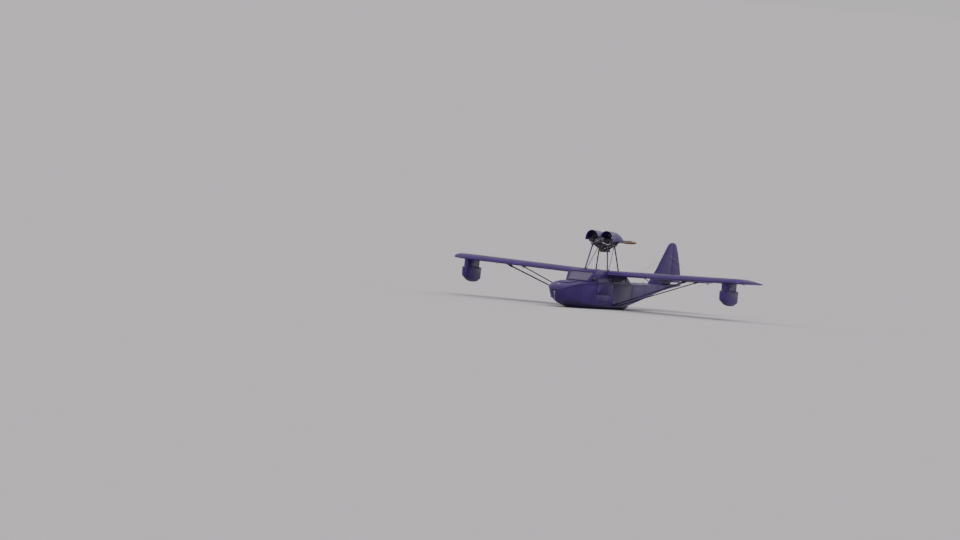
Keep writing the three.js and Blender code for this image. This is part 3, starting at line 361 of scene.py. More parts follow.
class Shape:
    """Gathers the points and faces of one piece, or of a left piece that is mirrored for the right."""
    waiting = []

    def __init__(self, name, look, bodies="airframe", smooth=False):
        self.name, self.look, self.smooth = name, look, smooth
        self.bodies = bodies if isinstance(bodies, tuple) else (bodies,)
        self.verts, self.faces = [], []
        Shape.waiting.append(self)

    def add(self, verts, faces):
        start = len(self.verts)
        self.verts += [Vector(v) for v in verts]
        self.faces += [[start + i for i in face] for face in faces]

    def skin(self, rings):
        """A closed form through rings of as many points each."""
        count = len(rings[0])
        last = (len(rings) - 1) * count
        faces = [
            (a + k, a + (k + 1) % count, a + count + (k + 1) % count, a + count + k)
            for a in range(0, last, count) for k in range(count)
        ]
        ends = [tuple(reversed(range(count))), tuple(range(last, last + count))]
        self.add([point for ring in rings for point in ring], faces + ends)

    def plate(self, outline, half_thick):
        self.skin([[point - half_thick for point in outline], [point + half_thick for point in outline]])

    def box(self, low, high, turn=None, centre=None):
        corners = [Vector(corner) for corner in product(*zip(low, high))]
        if turn:
            corners = [turn @ (corner - centre) + centre for corner in corners]
        faces = [(0, 1, 3, 2), (4, 6, 7, 5), (0, 4, 5, 1), (2, 3, 7, 6), (0, 2, 6, 4), (1, 5, 7, 3)]
        self.add(corners, faces)

    def box_at(self, place, low, high, *turned):
        self.box(Vector(place) + Vector(low), Vector(place) + Vector(high), *turned)

    def lathe(self, start, along, profile, sides=16):
        """profile is (distance along, radius) pairs from one end to the other."""
        along = Vector(along).normalized()
        across = along.orthogonal().normalized()
        up = along.cross(across)
        self.skin([circle(radius, sides, Vector(start) + along * far, across, up) for far, radius in profile])

    def bolt(self, place, along, steps, sides=6, start=0):
        """A turned form from (radius, length) steps, each with square shoulders."""
        profile = []
        for radius, length in steps:
            profile += [(start + (0.0001 if profile else 0), radius), (start + length, radius)]
            start += length
        self.lathe(place, along, profile, sides)

    def band(self, start, along, radius, edge_radius, bevel, length, sides=8):
        """A turned ring or barrel with bevelled ends."""
        profile = [(0, edge_radius), (bevel, radius), (length - bevel, radius), (length, edge_radius)]
        self.lathe(start, along, profile, sides)

    def rod(self, start, end, radius, sides=10, end_radius=None):
        run = Vector(end) - Vector(start)
        self.lathe(start, run, [(0, radius), (run.length, end_radius or radius)], sides)

    def links(self, points, radius, sides=8):
        """Rods from each point to the next."""
        for start, end in zip(points, points[1:]):
            self.rod(start, end, radius, sides)

    def pipe(self, points, radius, sides=8):
        """A closed tube through the points."""
        points = [Vector(point) for point in points]
        rings, across = [], None
        for before, point, after in zip(points[:1] + points, points, points[1:] + points[-1:]):
            ahead = (after - before).normalized()
            across = ahead.orthogonal() if across is None else across - ahead * across.dot(ahead)
            across.normalize()
            rings.append(circle(radius, sides, point, across, ahead.cross(across)))
        self.skin(rings)

    def ribbon(self, points, ways, width, normals, thick):
        """A raised strip: ways point across it and normals out of the surface, one or a list of each."""
        rings = []
        for i, point in enumerate(points):
            across = Vector(ways[i] if isinstance(ways, list) else ways) * (width / 2)
            normal = Vector(normals[i] if isinstance(normals, list) else normals).normalized()
            rings.append([point - across - normal * STRIP_SUNK, point - across * 0.8 + normal * thick,
                          point + across * 0.8 + normal * thick, point + across - normal * STRIP_SUNK])
        self.skin(rings)

    def screw(self, place, normal, radius=0.004, height=0.002):
        normal = Vector(normal).normalized()
        profile = [(0, radius), (height * 0.6, radius), (height, radius * 0.6)]
        self.lathe(Vector(place) - normal * 0.001, normal, profile, 6)

    def both_sides(self, middle_z=None):
        """Adds the mirror image across the centreline, or half a turn round a line at middle_z."""
        rows = [(-v.x, v.y, v.z if middle_z is None else 2 * middle_z - v.z) for v in self.verts]
        self.add(rows, list(self.faces))

    def put(self):
        """Makes the pieces, and gives the first of them."""
        Shape.waiting.remove(self)
        pieces = []
        labels = ("_left", "_right") if len(self.bodies) > 1 else ("",)
        for label, body, side in zip(labels, self.bodies, (1, -1)):
            mesh = bpy.data.meshes.new(self.name + label)
            mesh.from_pydata([(side * v.x, v.y, v.z) for v in self.verts], [], self.faces)
            mesh.validate()
            editable = bmesh.new()
            editable.from_mesh(mesh)
            bmesh.ops.recalc_face_normals(editable, faces=editable.faces)
            editable.to_mesh(mesh)
            editable.free()
            mesh.materials.append(self.look)
            for polygon in mesh.polygons:
                polygon.use_smooth = self.smooth
            piece = bpy.data.objects.new(mesh.name, mesh)
            bpy.context.collection.objects.link(piece)
            if body:
                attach(piece, body)
            pieces.append(piece)
        return pieces[0]


def neighbours(rows):
    """The items before and after each one, or the one itself at an end."""
    return list(zip(rows[:1] + rows, rows[1:] + rows[-1:]))


def facing(normal, way):
    """The unit normal on the side that way points to."""
    normal = normal.normalized()
    return normal if normal.dot(way) > 0 else -normal


def between(rows, at, column):
    """The column's value at a distance along rows that start with that distance."""
    for row, after in zip(rows, rows[1:]):
        if at <= after[0]:
            share = (at - row[0]) / (after[0] - row[0])
            return row[column] + (after[column] - row[column]) * share
    return rows[-1][column]


# Wing section: share of the chord, upper height and lower height as shares of it
CHORD = 1.5
WING_LEAD = -0.75
WING_BOTTOM = 1.03
CENTER_HALF = 0.5
DIHEDRAL = math.radians(1.4)
SECTION = [
    (0.0, 0.035, 0.035), (0.0125, 0.0545, 0.0193), (0.05, 0.079, 0.0093), (0.12, 0.1, 0.003),
    (0.25, 0.1165, 0), (0.4, 0.114, 0), (0.6, 0.0915, 0), (0.8, 0.0522, 0), (1.0, 0.005, 0),
]
# Outline of a panel: distance out, leading edge, trailing edge, share of the full thickness
PANEL_OUTLINE = [
    (-0.06, -0.75, 0.75, 1), (4.26, -0.75, 0.75, 1), (4.5, -0.715, 0.748, 0.97), (4.65, -0.662, 0.742, 0.92),
    (4.735, -0.596, 0.726, 0.82), (4.782, -0.505, 0.692, 0.62), (4.8, -0.415, 0.64, 0.36),
]
AILERON_IN, AILERON_OUT = 2.6, 4.4
COVE_FRONT = 0.42
AILERON_FRONT = 0.5
AILERON_LINE = (0.47, 0.0375)
RIB_PLACES = [0.12 + 0.305 * i for i in range(16)]
TAPE_WIDTH, TAPE_THICK = 0.034, 0.0012
TAPE_END = 0.985


def section_point(out, share, upper):
    """A point of the panel before it is set at its dihedral."""
    lead, trail, thick = (between(PANEL_OUTLINE, out, k) for k in (1, 2, 3))
    height = between(SECTION, share, 1 if upper else 2) * CHORD
    middle = 0.05 * CHORD
    return vec(out, lead + share * (trail - lead), middle + (height - middle) * thick)


def on_panel(point):
    """Sets a point drawn flat from the panel's root onto the left wing."""
    x, y, z = point
    rise, run = math.sin(DIHEDRAL), math.cos(DIHEDRAL)
    return vec(CENTER_HALF + x * run - z * rise, y, WING_BOTTOM + x * rise + z * run)


def chord_share(out, y):
    lead, trail = (between(PANEL_OUTLINE, out, k) for k in (1, 2))
    return (y - lead) / (trail - lead)


def on_wing(out, y, upper=True, lift=0.0):
    """A point on the left panel's surface at a distance out and a place along the chord."""
    point = section_point(out, chord_share(out, y), upper)
    point.z += lift if upper else -lift
    return on_panel(point)


def on_center(x, share, upper=True, lift=0.0):
    """A point on the level centre section."""
    point = section_point(CENTER_HALF, share, upper)
    return vec(x, point.y, point.z + WING_BOTTOM + lift)


def rib_tape(shape, out, first, upper, last=TAPE_END, steps=12):
    """A tape over a rib between two shares of the chord."""
    shares = [first + (last - first) * i / steps for i in range(steps + 1)]
    points = [on_panel(section_point(out, share, upper)) for share in shares]
    across = vec(math.cos(DIHEDRAL), 0, math.sin(DIHEDRAL))
    way = UP if upper else -UP
    normals = [facing(across.cross(after - before), way) for before, after in neighbours(points)]
    shape.ribbon(points, across, TAPE_WIDTH, normals, TAPE_THICK)


def nose_tape(shape):
    """A tape wrapped round the leading edge, out along the panel."""
    outs = [0.05, 1, 2, 3, 4, 4.26, 4.38, 4.5, 4.58, 4.65, 4.7, 4.735]
    shares = [0.022, 0.012, 0.005, 0.0015]
    wrap = [(share, True) for share in shares] + [(0, False)] + [(share, False) for share in shares[::-1]]
    grid = [[on_panel(section_point(out, share, upper)) for share, upper in wrap] for out in outs]
    rings = []
    for row, (before, after) in zip(grid, neighbours(grid)):
        ways = [(high - low).cross(b - a) for (low, high), a, b in zip(neighbours(row), before, after)]
        normals = [facing(way, -AFT) for way in ways]
        outer = [point + normal * TAPE_THICK * 1.5 for point, normal in zip(row, normals)]
        inner = [point - normal * 0.003 for point, normal in zip(row, normals)]
        rings.append(outer + inner[::-1])
    shape.skin(rings)


# Wing covering: rib tapes, edge tapes and drain rings
wing_tapes = Shape("wing_tape", WING_PAINT, BOTH)
aileron_tapes = Shape("aileron_tape", WING_PAINT, AILERONS)
drains = Shape("drain_ring", STEEL, BOTH)
for out in RIB_PLACES:
    beside_aileron = AILERON_IN - 0.02 < out < AILERON_OUT + 0.02
    for upper in (True, False):
        rib_tape(wing_tapes, out, 0.02, upper, chord_share(out, COVE_FRONT) if beside_aileron else TAPE_END)
        if beside_aileron:
            rib_tape(aileron_tapes, out, chord_share(out, AILERON_FRONT), upper, steps=4)
nose_tape(wing_tapes)
for share, upper in product((0.155, 0.655), (True, False)):
    outs = [0.02, 1, 2, 3, 4, 4.26, 4.5, 4.65, 4.735]
    points = [on_panel(section_point(out, share, upper)) for out in outs]
    wing_tapes.ribbon(points, AFT, 0.03, UP if upper else -UP, TAPE_THICK)
for out, after in zip(RIB_PLACES, RIB_PLACES[1:]):
    if not AILERON_IN < (out + after) / 2 < AILERON_OUT:
        place = on_wing((out + after) / 2, 0.66, False, -0.001)
        drains.lathe(place, -UP, [(0, 0.011), (0.0025, 0.01), (0.0025, 0.005)], 12)

# Centre section: tapes, root strips, filler caps
center = Shape("center_section_tape", WING_PAINT)
root_strip = Shape("wing_root_strip", WING_PAINT, BOTH)
root_screws = Shape("wing_root_screw", BRIGHT, BOTH)
filler = Shape("fuel_filler_cap", BRIGHT)
for x in (-0.3, 0.0, 0.3):
    center.ribbon([on_center(x, 0.02 + 0.96 * i / 14) for i in range(15)], LEFT, TAPE_WIDTH, UP, TAPE_THICK)
top_line = [on_center(CENTER_HALF, 0.13 + 0.855 * i / 16, lift=0.0008) for i in range(17)]
under_line = [on_center(CENTER_HALF, 0.02 + 0.965 * i / 16, False, -0.0008) for i in range(13, 17)]
root_strip.ribbon(top_line, LEFT, 0.09, UP, 0.003)
root_strip.ribbon(under_line, LEFT, 0.07, -UP, 0.003)
for i, x in product(range(3, 17), (-0.03, 0.03)):
    place = on_center(CENTER_HALF + x, 0.13 + 0.855 * (i - 0.5) / 16, lift=0.003)
    root_screws.screw(place, UP, 0.005, 0.0025)
filler_top = on_center(0.19, 0.4)
filler.lathe(filler_top, UP, [
    (-0.004, 0.046), (0.004, 0.046), (0.004, 0.034), (0.014, 0.032), (0.018, 0.028),
], 24)
for spoke in circle(0.03, 6, vec(0, 0, 0), LEFT, AFT)[:3]:
    filler.rod(filler_top + UP * 0.019 - spoke, filler_top + UP * 0.019 + spoke, 0.004, 8)
filler.both_sides()

# Navigation lights on the tips, pitot tube and tie-down rings
tip = on_wing(4.79, -0.12) - UP * 0.03
light_base = Shape("tip_light_base", STEEL, BOTH)
pitot = Shape("pitot_tube", STEEL)
tie_down = Shape("tie_down_ring", STEEL, BOTH)
light_base.lathe(tip - LEFT * 0.012, LEFT, [(0, 0.024), (0.012, 0.022), (0.016, 0.016)])
for side, label, look in ((1, "left", RED_LENS), (-1, "right", GREEN_LENS)):
    lens = Shape(f"tip_light_lens_{label}", look, smooth=True)
    place = vec(side * (tip.x + 0.004), tip.y, tip.z)
    lens.lathe(place, LEFT * side, [(0, 0.015), (0.012, 0.014), (0.02, 0.01), (0.024, 0.004)])
mast = on_wing(2.2, -0.55, False)
bend = [(0, 0, 0.02), (0, 0, -0.1), (0, -0.02, -0.118), (0, -0.18, -0.12)]
pitot.pipe([mast + Vector(p) for p in bend], 0.007, 10)
pitot.rod(mast + vec(0, -0.05, -0.12), mast + vec(0, -0.17, -0.12), 0.0095, 12, 0.0075)
pitot.box_at(mast, (-0.02, -0.03, -0.004), (0.02, 0.03, 0.006))
ring_at = on_wing(3.35, -0.28, False)
tie_down.rod(ring_at + UP * 0.01, ring_at - UP * 0.012, 0.006, 10)
tie_down.links(arc(0.02, 0, 360, 12, ring_at - UP * 0.032, UP, AFT), 0.0035)

# Aileron hinge brackets, horns and cable fairleads
for k, out in enumerate((2.72, 3.5, 4.28)):
    bracket = Shape(f"aileron_bracket_{k}", STEEL, BOTH)
    hinge = on_panel((out, *AILERON_LINE))
    under = on_wing(out, 0.38, False)
    reach = hinge - under
    outline = [(-0.06, 0.004), (-0.055, -0.014), (reach.y - 0.016, reach.z - 0.058),
               (reach.y + 0.004, reach.z - 0.058), (0, 0.004)]
    for x in (-0.012, 0.012):
        bracket.plate([under + vec(x, y, z) for y, z in outline], LEFT * 0.0018)
    pin = hinge + vec(0, -0.006, -0.053)
    bracket.rod(pin - LEFT * 0.02, pin + LEFT * 0.02, 0.0045, 8)
    bracket.box_at(under, (-0.03, -0.07, -0.003), (0.03, -0.005, 0.004))
horn = Shape("aileron_horn", STEEL, AILERONS)
cable_exit = Shape("cable_fairlead", STEEL, BOTH)
horn_at = on_wing(2.9, 0.52, False)
outline = [(-0.03, 0.006), (-0.012, -0.095), (0.01, -0.1), (0.05, 0.006)]
horn.plate([horn_at + vec(0, y, z) for y, z in outline], LEFT * 0.0025)
horn.rod(horn_at + vec(-0.008, 0, -0.088), horn_at + vec(0.008, 0, -0.088), 0.004, 8)
for upper in (True, False):
    way = (0, -0.3, 1 if upper else -1)
    cable_exit.lathe(on_wing(2.9, 0.25, upper), way, [(-0.004, 0.022), (0.006, 0.02), (0.012, 0.012)], 12)


# Lift strut ends: bolted cuffs on the strut and plates on the skin
STRUT_SPAN = 3.4
STRUT_FOOT_X, STRUT_FOOT_Z = 0.52, 0.13
# The hull's side at the struts leans out a little from the chine to the sheer
CHINE_X, CHINE_Z = 0.545, 0.1
SIDE_LEAN = 0.005 / 0.7


def wing_underside(x):
    return WING_BOTTOM + math.tan(DIHEDRAL) * (x - CENTER_HALF)


def axes_along(along, hint=AFT):
    """Columns: along, across in the hint's direction, and the third axis."""
    along = Vector(along).normalized()
    across = (hint - along * hint.dot(along)).normalized()
    return Matrix((along, across, along.cross(across))).transposed()


def cuff(shape, place, along, length, chord, thick):
    """A sleeve with two through bolts round a strut end."""
    place, axes = Vector(place), axes_along(along)
    for side in (-1, 1):
        shape.box_at(place, (-length / 2, -chord / 2, side * thick / 2 - 0.002),
                     (length / 2, chord / 2, side * thick / 2 + 0.002), axes, place)
    pin = thick + 0.016
    for share in (-0.25, 0.25):
        start = place + axes @ vec(share * length, 0, -pin / 2)
        shape.lathe(start, axes.col[2], [
            (0, 0.006), (0.003, 0.009), (0.008, 0.009), (0.0081, 0.005), (pin - 0.0081, 0.005),
            (pin - 0.008, 0.009), (pin, 0.008),
        ], 8)


for label, foot_y, top_y, chord, thick in (
    ("front", -0.28, -0.52, 0.092, 0.04), ("rear", 0.02, 0.23, 0.076, 0.032),
):
    fittings = Shape(f"strut_{label}_fitting", STEEL, BOTH)
    foot = vec(STRUT_FOOT_X, foot_y, STRUT_FOOT_Z)
    top = vec(STRUT_SPAN, top_y, wing_underside(STRUT_SPAN) + 0.04)
    along = (top - foot).normalized()
    cuff(fittings, foot + along * 0.13, along, 0.12, chord * 0.62, thick + 0.004)
    cuff(fittings, top - along * 0.24, along, 0.14, chord * 0.62, thick + 0.004)
    low = foot + along * 0.03
    low.x = CHINE_X + SIDE_LEAN * (low.z - CHINE_Z)
    fittings.box_at(low, (-0.001, -0.07, 0.03), (0.005, 0.06, 0.13))
    for y, z in product((-0.055, 0.045), (0.045, 0.115)):
        fittings.screw(low + vec(0.005, y, z), LEFT, 0.007, 0.006)
    head_x = STRUT_SPAN - 0.12
    head = vec(head_x, top_y - 0.01, wing_underside(head_x))
    lean = Matrix.Rotation(-DIHEDRAL, 3, "Y")
    fittings.box_at(head, (-0.13, -0.05, -0.005), (0.02, 0.06, 0.004), lean, head)
    for x, y in product((-0.115, 0.008), (-0.038, 0.048)):
        fittings.screw(head + lean @ vec(x, y, -0.005), -UP, 0.007, 0.005)

# Engine pylon legs: foot plates on the wing, collars and crossed bracing wires
LEG_FOOT_X, LEG_FOOT_Z = 0.425, 1.12
LEG_TOP_X, BED_Z = 0.27, 1.96
REAR_LEG_Y, REAR_LEG_TOP_Y = 0.06, -0.06
WIRE_RADIUS = 0.0022


def center_top(y):
    return on_center(0, (y - WING_LEAD) / CHORD).z


plates = Shape("pylon_foot_plate", STEEL, BOTH)
collars = Shape("pylon_collar", STEEL, BOTH)
wires = Shape("pylon_wire", BRIGHT, BOTH)
for foot_y, top_y in ((-0.59, -0.47), (REAR_LEG_Y, REAR_LEG_TOP_Y)):
    start, end = vec(LEG_FOOT_X, foot_y, LEG_FOOT_Z), vec(LEG_TOP_X, top_y, BED_Z)
    along = (end - start).normalized()
    foot = start + along * (center_top(foot_y) - LEG_FOOT_Z) / along.z
    normal = vec(0, (center_top(foot.y - 0.02) - center_top(foot.y + 0.02)) / 0.04, 1).normalized()
    turn = Matrix((LEFT, normal.cross(LEFT), normal)).transposed()
    plates.box_at(foot, (-0.055, -0.055, -0.003), (0.055, 0.055, 0.005), turn, foot)
    for x, y in product((-0.042, 0.042), repeat=2):
        plates.lathe(foot + turn @ vec(x, y, 0.005), normal, [
            (-0.001, 0.009), (0.0015, 0.009), (0.0016, 0.0065), (0.007, 0.0065), (0.008, 0.004),
        ], 6)
    collars.lathe(foot + along * 0.012, along, [
        (0, 0.03), (0.006, 0.03), (0.012, 0.0235), (0.06, 0.0235), (0.063, 0.0205),
    ])
    top = end - along * 0.04
    collars.lathe(top, -along, [(0, 0.0235), (0.05, 0.0235), (0.053, 0.0205)])
    pin = foot + along * 0.047
    collars.rod(pin - LEFT * 0.034, pin + LEFT * 0.034, 0.005, 8)
    low_end = foot + along * 0.05 - LEFT * 0.02
    high_end = top + along * 0.01
    high_end.x = 0.02 - high_end.x
    wires.rod(low_end, high_end, WIRE_RADIUS, 6)
    toward = (high_end - low_end).normalized()
    wires.band(low_end + toward * 0.05, toward, 0.0065, 0.003, 0.012, 0.082)

# Fuel line on the left rear leg, engine controls on the right one
leg_start = vec(LEG_FOOT_X, REAR_LEG_Y, LEG_FOOT_Z)
leg_along = (vec(LEG_TOP_X, REAR_LEG_TOP_Y, BED_Z) - leg_start).normalized()
for name, side, radius in (("fuel_line", 1, 0.008), ("control_conduit", -1, 0.006)):
    run = Shape(name, RUBBER, smooth=True)
    clips = Shape(name + "_clips", BRIGHT)
    mirror = Matrix.Diagonal((side, 1, 1))
    leg, off = mirror @ leg_along, vec(0, 0.02 + radius, 0)
    points = [mirror @ (leg_start + leg_along * (0.06 + 0.75 * i / 8)) + off for i in range(9)]
    top_run = [mirror @ Vector(p) for p in ((0.24, -0.02, 1.93), (0.18, -0.06, 1.97), (0.15, -0.09, 2.02))]
    run.pipe(points + top_run, radius)
    for point in points[1::2]:
        clips.lathe(point - off - leg * 0.006, leg, [(0, 0.0212), (0.012, 0.0212)], 14)
        clips.lathe(point - leg * 0.006, leg, [(0, radius + 0.0015), (0.012, radius + 0.0015)], 10)

# Tail outlines: distance, edge and thickness, or distance and edge
TAIL_Z = 1.0
ELEVATOR_Y = 3.625
RUDDER_Y = 3.75
FIN_TRAIL_Y = 3.725
FIN_LEAD = [(0.835, 2.42, 0.084), (1.01, 2.61, 0.082), (1.33, 2.9, 0.076), (1.72, 3.2, 0.068),
            (1.95, 3.38, 0.06), (2.06, 3.475, 0.052), (2.112, 3.55, 0.042), (2.138, 3.64, 0.028)]
RUDDER_TRAIL = [(0.905, 4.29), (0.98, 4.305), (1.15, 4.295), (1.4, 4.23), (1.75, 4.095), (1.95, 4.01),
                (2.06, 3.95), (2.112, 3.885), (2.138, 3.8)]
TAIL_LEAD = [(0.0, 3.06, 0.056), (0.044, 3.06, 0.056), (0.9, 3.14, 0.054), (1.2, 3.19, 0.05),
             (1.38, 3.265, 0.042), (1.47, 3.37, 0.032), (1.5, 3.47, 0.022)]
ELEVATOR_TRAIL = [(0.062, 4.105), (1.0, 4.11), (1.25, 4.08), (1.4, 4.01), (1.475, 3.91), (1.5, 3.8)]
# Sections: share of the chord, share of the half thickness
FIN_SHAPE = [(0.04, 0.5), (0.16, 0.86), (0.4, 1), (0.75, 0.86), (1, 0.6)]
TAIL_SHAPE = [(0.05, 0.55), (0.2, 0.9), (0.5, 1), (1, 0.72)]
TAIL_TAPE_WIDTH = 0.03
# The elevator has no tape this close to its horns
HORN_CLEAR = 0.2
AFT_DECK_Z = 0.853


def tail_tapes(fixed, moving, places, place, across, leads, trails, section, ends):
    """Tapes over both faces; ends are where the fixed chord ends and the moving one starts, the share
    of the moving chord at its middle point, and the moving one's half thicknesses."""
    fixed_end, hinge_y, middle_share, halves = ends
    for out in places:
        lead, thick, trail = between(leads, out, 1), between(leads, out, 2), between(trails, out, 1)
        middle = hinge_y + middle_share * (trail - hinge_y)
        for side in (-1, 1):
            face = place(side, 0, 0) - place(0, 0, 0)
            chord, half_thick = fixed_end - lead, side * thick / 2
            points = [place(half_thick * deep, lead + chord * share, out) for share, deep in section]
            fixed.ribbon(points, across, TAIL_TAPE_WIDTH, face, TAPE_THICK)
            if out > HORN_CLEAR:
                ys = (hinge_y + 0.004, middle, trail - 0.004)
                points = [place(side * half, y, out) for half, y in zip(halves, ys)]
                moving.ribbon(points, across, TAIL_TAPE_WIDTH, face, TAPE_THICK)


tail_tapes(
    Shape("fin_tape", HULL_PAINT), Shape("rudder_tape", HULL_PAINT, "rudder"),
    (1.12, 1.32, 1.52, 1.72, 1.9, 2.04),
    lambda deep, y, out: vec(deep, y, out), UP, FIN_LEAD, RUDDER_TRAIL, FIN_SHAPE,
    (FIN_TRAIL_Y, RUDDER_Y, 0.45, (0.02, 0.014, 0.003)),
)
elevator_tapes = Shape("elevator_tape", WING_PAINT, "elevator")
tail_tapes(
    Shape("stabilizer_tape", WING_PAINT, BOTH), elevator_tapes, (0.16, 0.4, 0.64, 0.88, 1.12, 1.32),
    lambda deep, y, out: vec(out, y, TAIL_Z + deep), LEFT, TAIL_LEAD, ELEVATOR_TRAIL, TAIL_SHAPE,
    (ELEVATOR_Y - 0.03, ELEVATOR_Y, 0.4, (0.017, 0.01275, 0.003)),
)
elevator_tapes.both_sides()

# Hinge straps: one leaf on the fixed surface and one on the moving one
hinge_fixed = Shape("stabilizer_hinge", STEEL, BOTH)
hinge_moving = Shape("elevator_hinge_strap", STEEL, "elevator")
rudder_straps = Shape("rudder_hinge_strap", STEEL, "rudder")
for x, side in product((0.3, 0.78, 1.26), (-1, 1)):
    at = vec(x, ELEVATOR_Y, TAIL_Z)
    hinge_fixed.box_at(at, (-0.014, -0.1, side * 0.0195 - 0.0015), (0.014, -0.028, side * 0.024 + 0.0015))
    hinge_fixed.screw(at + vec(0, -0.085, side * 0.0255), UP * side, 0.005, 0.003)
    hinge_moving.box_at(at, (0.018, -0.004, side * 0.0165 - 0.001), (0.044, 0.07, side * 0.02 + 0.001))
    hinge_moving.screw(at + vec(0.031, 0.055, side * 0.021), UP * side, 0.005, 0.003)
hinge_moving.both_sides()
for z, side in product((1.2, 1.62, 2.0), (-1, 1)):
    rudder_straps.box((side * 0.019, RUDDER_Y, z - 0.016), (side * 0.024, RUDDER_Y + 0.07, z + 0.016))
    rudder_straps.screw((side * 0.024, RUDDER_Y + 0.055, z), LEFT * side, 0.005, 0.003)


def control_horn(shape, foot, tip, flat, length=0.07):
    """A tapered plate from foot to tip, thin along flat."""
    foot, tip = Vector(foot), Vector(tip)
    base = (tip - foot).cross(flat).normalized() * (length / 2)
    shape.plate([foot - base, foot + base, tip + base * 0.25, tip - base * 0.25], flat * 0.003)


HORN_X, RUDDER_HORN_Z = 0.11, 1.16
elevator_horns = Shape("elevator_horn", STEEL, "elevator")
control_horn(elevator_horns, (HORN_X, 3.66, TAIL_Z + 0.013), (HORN_X, 3.645, TAIL_Z + 0.11), LEFT)
control_horn(elevator_horns, (HORN_X, 3.66, TAIL_Z - 0.013), (HORN_X, 3.645, TAIL_Z - 0.1), LEFT)
elevator_horns.both_sides()
rudder_horns = Shape("rudder_horn", STEEL, "rudder")
control_horn(rudder_horns, (0.012, 3.79, RUDDER_HORN_Z), (0.13, 3.765, RUDDER_HORN_Z), UP, 0.09)
rudder_horns.both_sides()

# Taut control cables from fairleads on the deck to the horns
for side, (kind, x, start_y, horn) in product((1, -1), (
    ("rudder", 0.15, 2.75, (0.128, 3.765, RUDDER_HORN_Z)),
    ("elevator", HORN_X, 2.95, (HORN_X, 3.646, TAIL_Z + 0.104)),
)):
    name = f"{kind}_cable_{'left' if side > 0 else 'right'}"
    run, fairlead = Shape(name, BRIGHT, None), Shape(name + "_fairlead", STEEL)
    start, end = vec(side * x, start_y, AFT_DECK_Z), vec(side * horn[0], *horn[1:])
    along = (end - start).normalized()
    run.pipe([start.lerp(end, i / 12) for i in range(13)], 0.002, 6)
    run.band(end - along * 0.1, along, 0.005, 0.0025, 0.008, 0.058)
    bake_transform(run.put(), "airframe", kind, tuple(start), tuple(end))
    fairlead.lathe(start - along * 0.02, along, [(0, 0.013), (0.012, 0.013), (0.022, 0.007)], 12)

# Bracing wires from the fin to the tailplane, tail light and tail strut ends
stays = Shape("tail_stay", BRIGHT, BOTH)
for y, root_z, out_y in ((3.3, 1.62, 3.3), (3.66, 1.72, 3.55)):
    high, low = vec(0.028, y, root_z), vec(1.18, out_y, TAIL_Z + 0.026)
    stays.rod(high, low, WIRE_RADIUS, 6)
    toward = (high - low).normalized()
    stays.band(low + toward * 0.04, toward, 0.006, 0.003, 0.012, 0.072)
    stays.box_at(low, (-0.02, -0.012, -0.004), (0.02, 0.012, 0.004))
    stays.box_at(high, (-0.004, -0.016, -0.02), (0.004, 0.016, 0.02))
light_at, light_way = vec(0, 4.3, 1.05), vec(0, 1, 0.05)
tail_light = Shape("tail_light_base", STEEL, "rudder")
tail_light.lathe(light_at, light_way, [(-0.03, 0.012), (0, 0.013), (0.008, 0.013)], 12)
tail_lens = Shape("tail_light_lens", CLEAR_LENS, "rudder", smooth=True)
tail_lens.lathe(light_at + light_way * 0.008, light_way, [
    (0, 0.011), (0.012, 0.0105), (0.02, 0.007), (0.023, 0.003),
], 12)
for label, place in (("foot", (0.19, 3.264, 0.723)), ("head", (0.725, 3.345, 0.972))):
    cuff(Shape(f"tail_strut_cuff_{label}", STEEL, BOTH), place, (0.61, 0.09, 0.295), 0.07, 0.036, 0.024)

# Engine: fins between the main ones, base studs, rocker covers and plugs
CRANK_Z = 2.1
CASE_HALF, CASE_TOP = 0.13, 2.21
HEAD_OUT = 0.462
CYLINDER_PLACES = (-0.355, -0.125)

thin_fins = Shape("cylinder_thin_fin", FIN_METAL, BOTH)
studs = Shape("cylinder_stud", BRIGHT, BOTH)
covers = Shape("rocker_cover", CASTING, BOTH)
plugs = Shape("spark_plug", BRIGHT, BOTH)
for y in CYLINDER_PLACES:
    discs = [(0.1673 + 0.024 * k, 0.081 + 0.002 * k) for k in range(5)]
    discs += [(out, 0.091) for out in (0.266, 0.2965, 0.325, 0.3535)]
    for out, radius in discs:
        thin_fins.band((out, y, CRANK_Z), LEFT, radius, radius * 0.7, 0.0002, 0.0024, 28)
    for place in circle(0.074, 8, vec(0.1305, y, CRANK_Z), AFT, UP, 22.5):
        studs.lathe(place, LEFT, [
            (0, 0.009), (0.003, 0.009), (0.0031, 0.0065), (0.011, 0.0065), (0.0112, 0.004), (0.017, 0.004),
        ], 6)
    covers.box((0.4545, y - 0.07, CRANK_Z - 0.03), (HEAD_OUT, y + 0.07, CRANK_Z + 0.03))
    for off, rise in product((-0.06, 0, 0.06), (-0.022, 0.022)):
        covers.screw((HEAD_OUT, y + off, CRANK_Z + rise), LEFT, 0.006, 0.006)
    for rise in (1, -1):
        plugs.lathe((0.372, y - 0.012 * rise, CRANK_Z + rise * 0.094), (0.25, 0, rise), [
            (0, 0.013), (0.008, 0.013), (0.0081, 0.008), (0.04, 0.008), (0.042, 0.005),
        ], 10)


def curve_through(knots, steps=5):
    """Points on a smooth curve through the knots."""
    knots = [Vector(knot) for knot in knots]
    points = []
    for before, a, b, after in zip(knots[:1] + knots, knots, knots[1:], knots[2:] + knots[-1:]):
        for t in (step / steps for step in range(steps)):
            points.append(0.5 * (2 * a + (b - before) * t + (2 * before - 5 * a + 4 * b - after) * t ** 2
                                 + (3 * a - before - 3 * b + after) * t ** 3))
    return points + [knots[-1]]


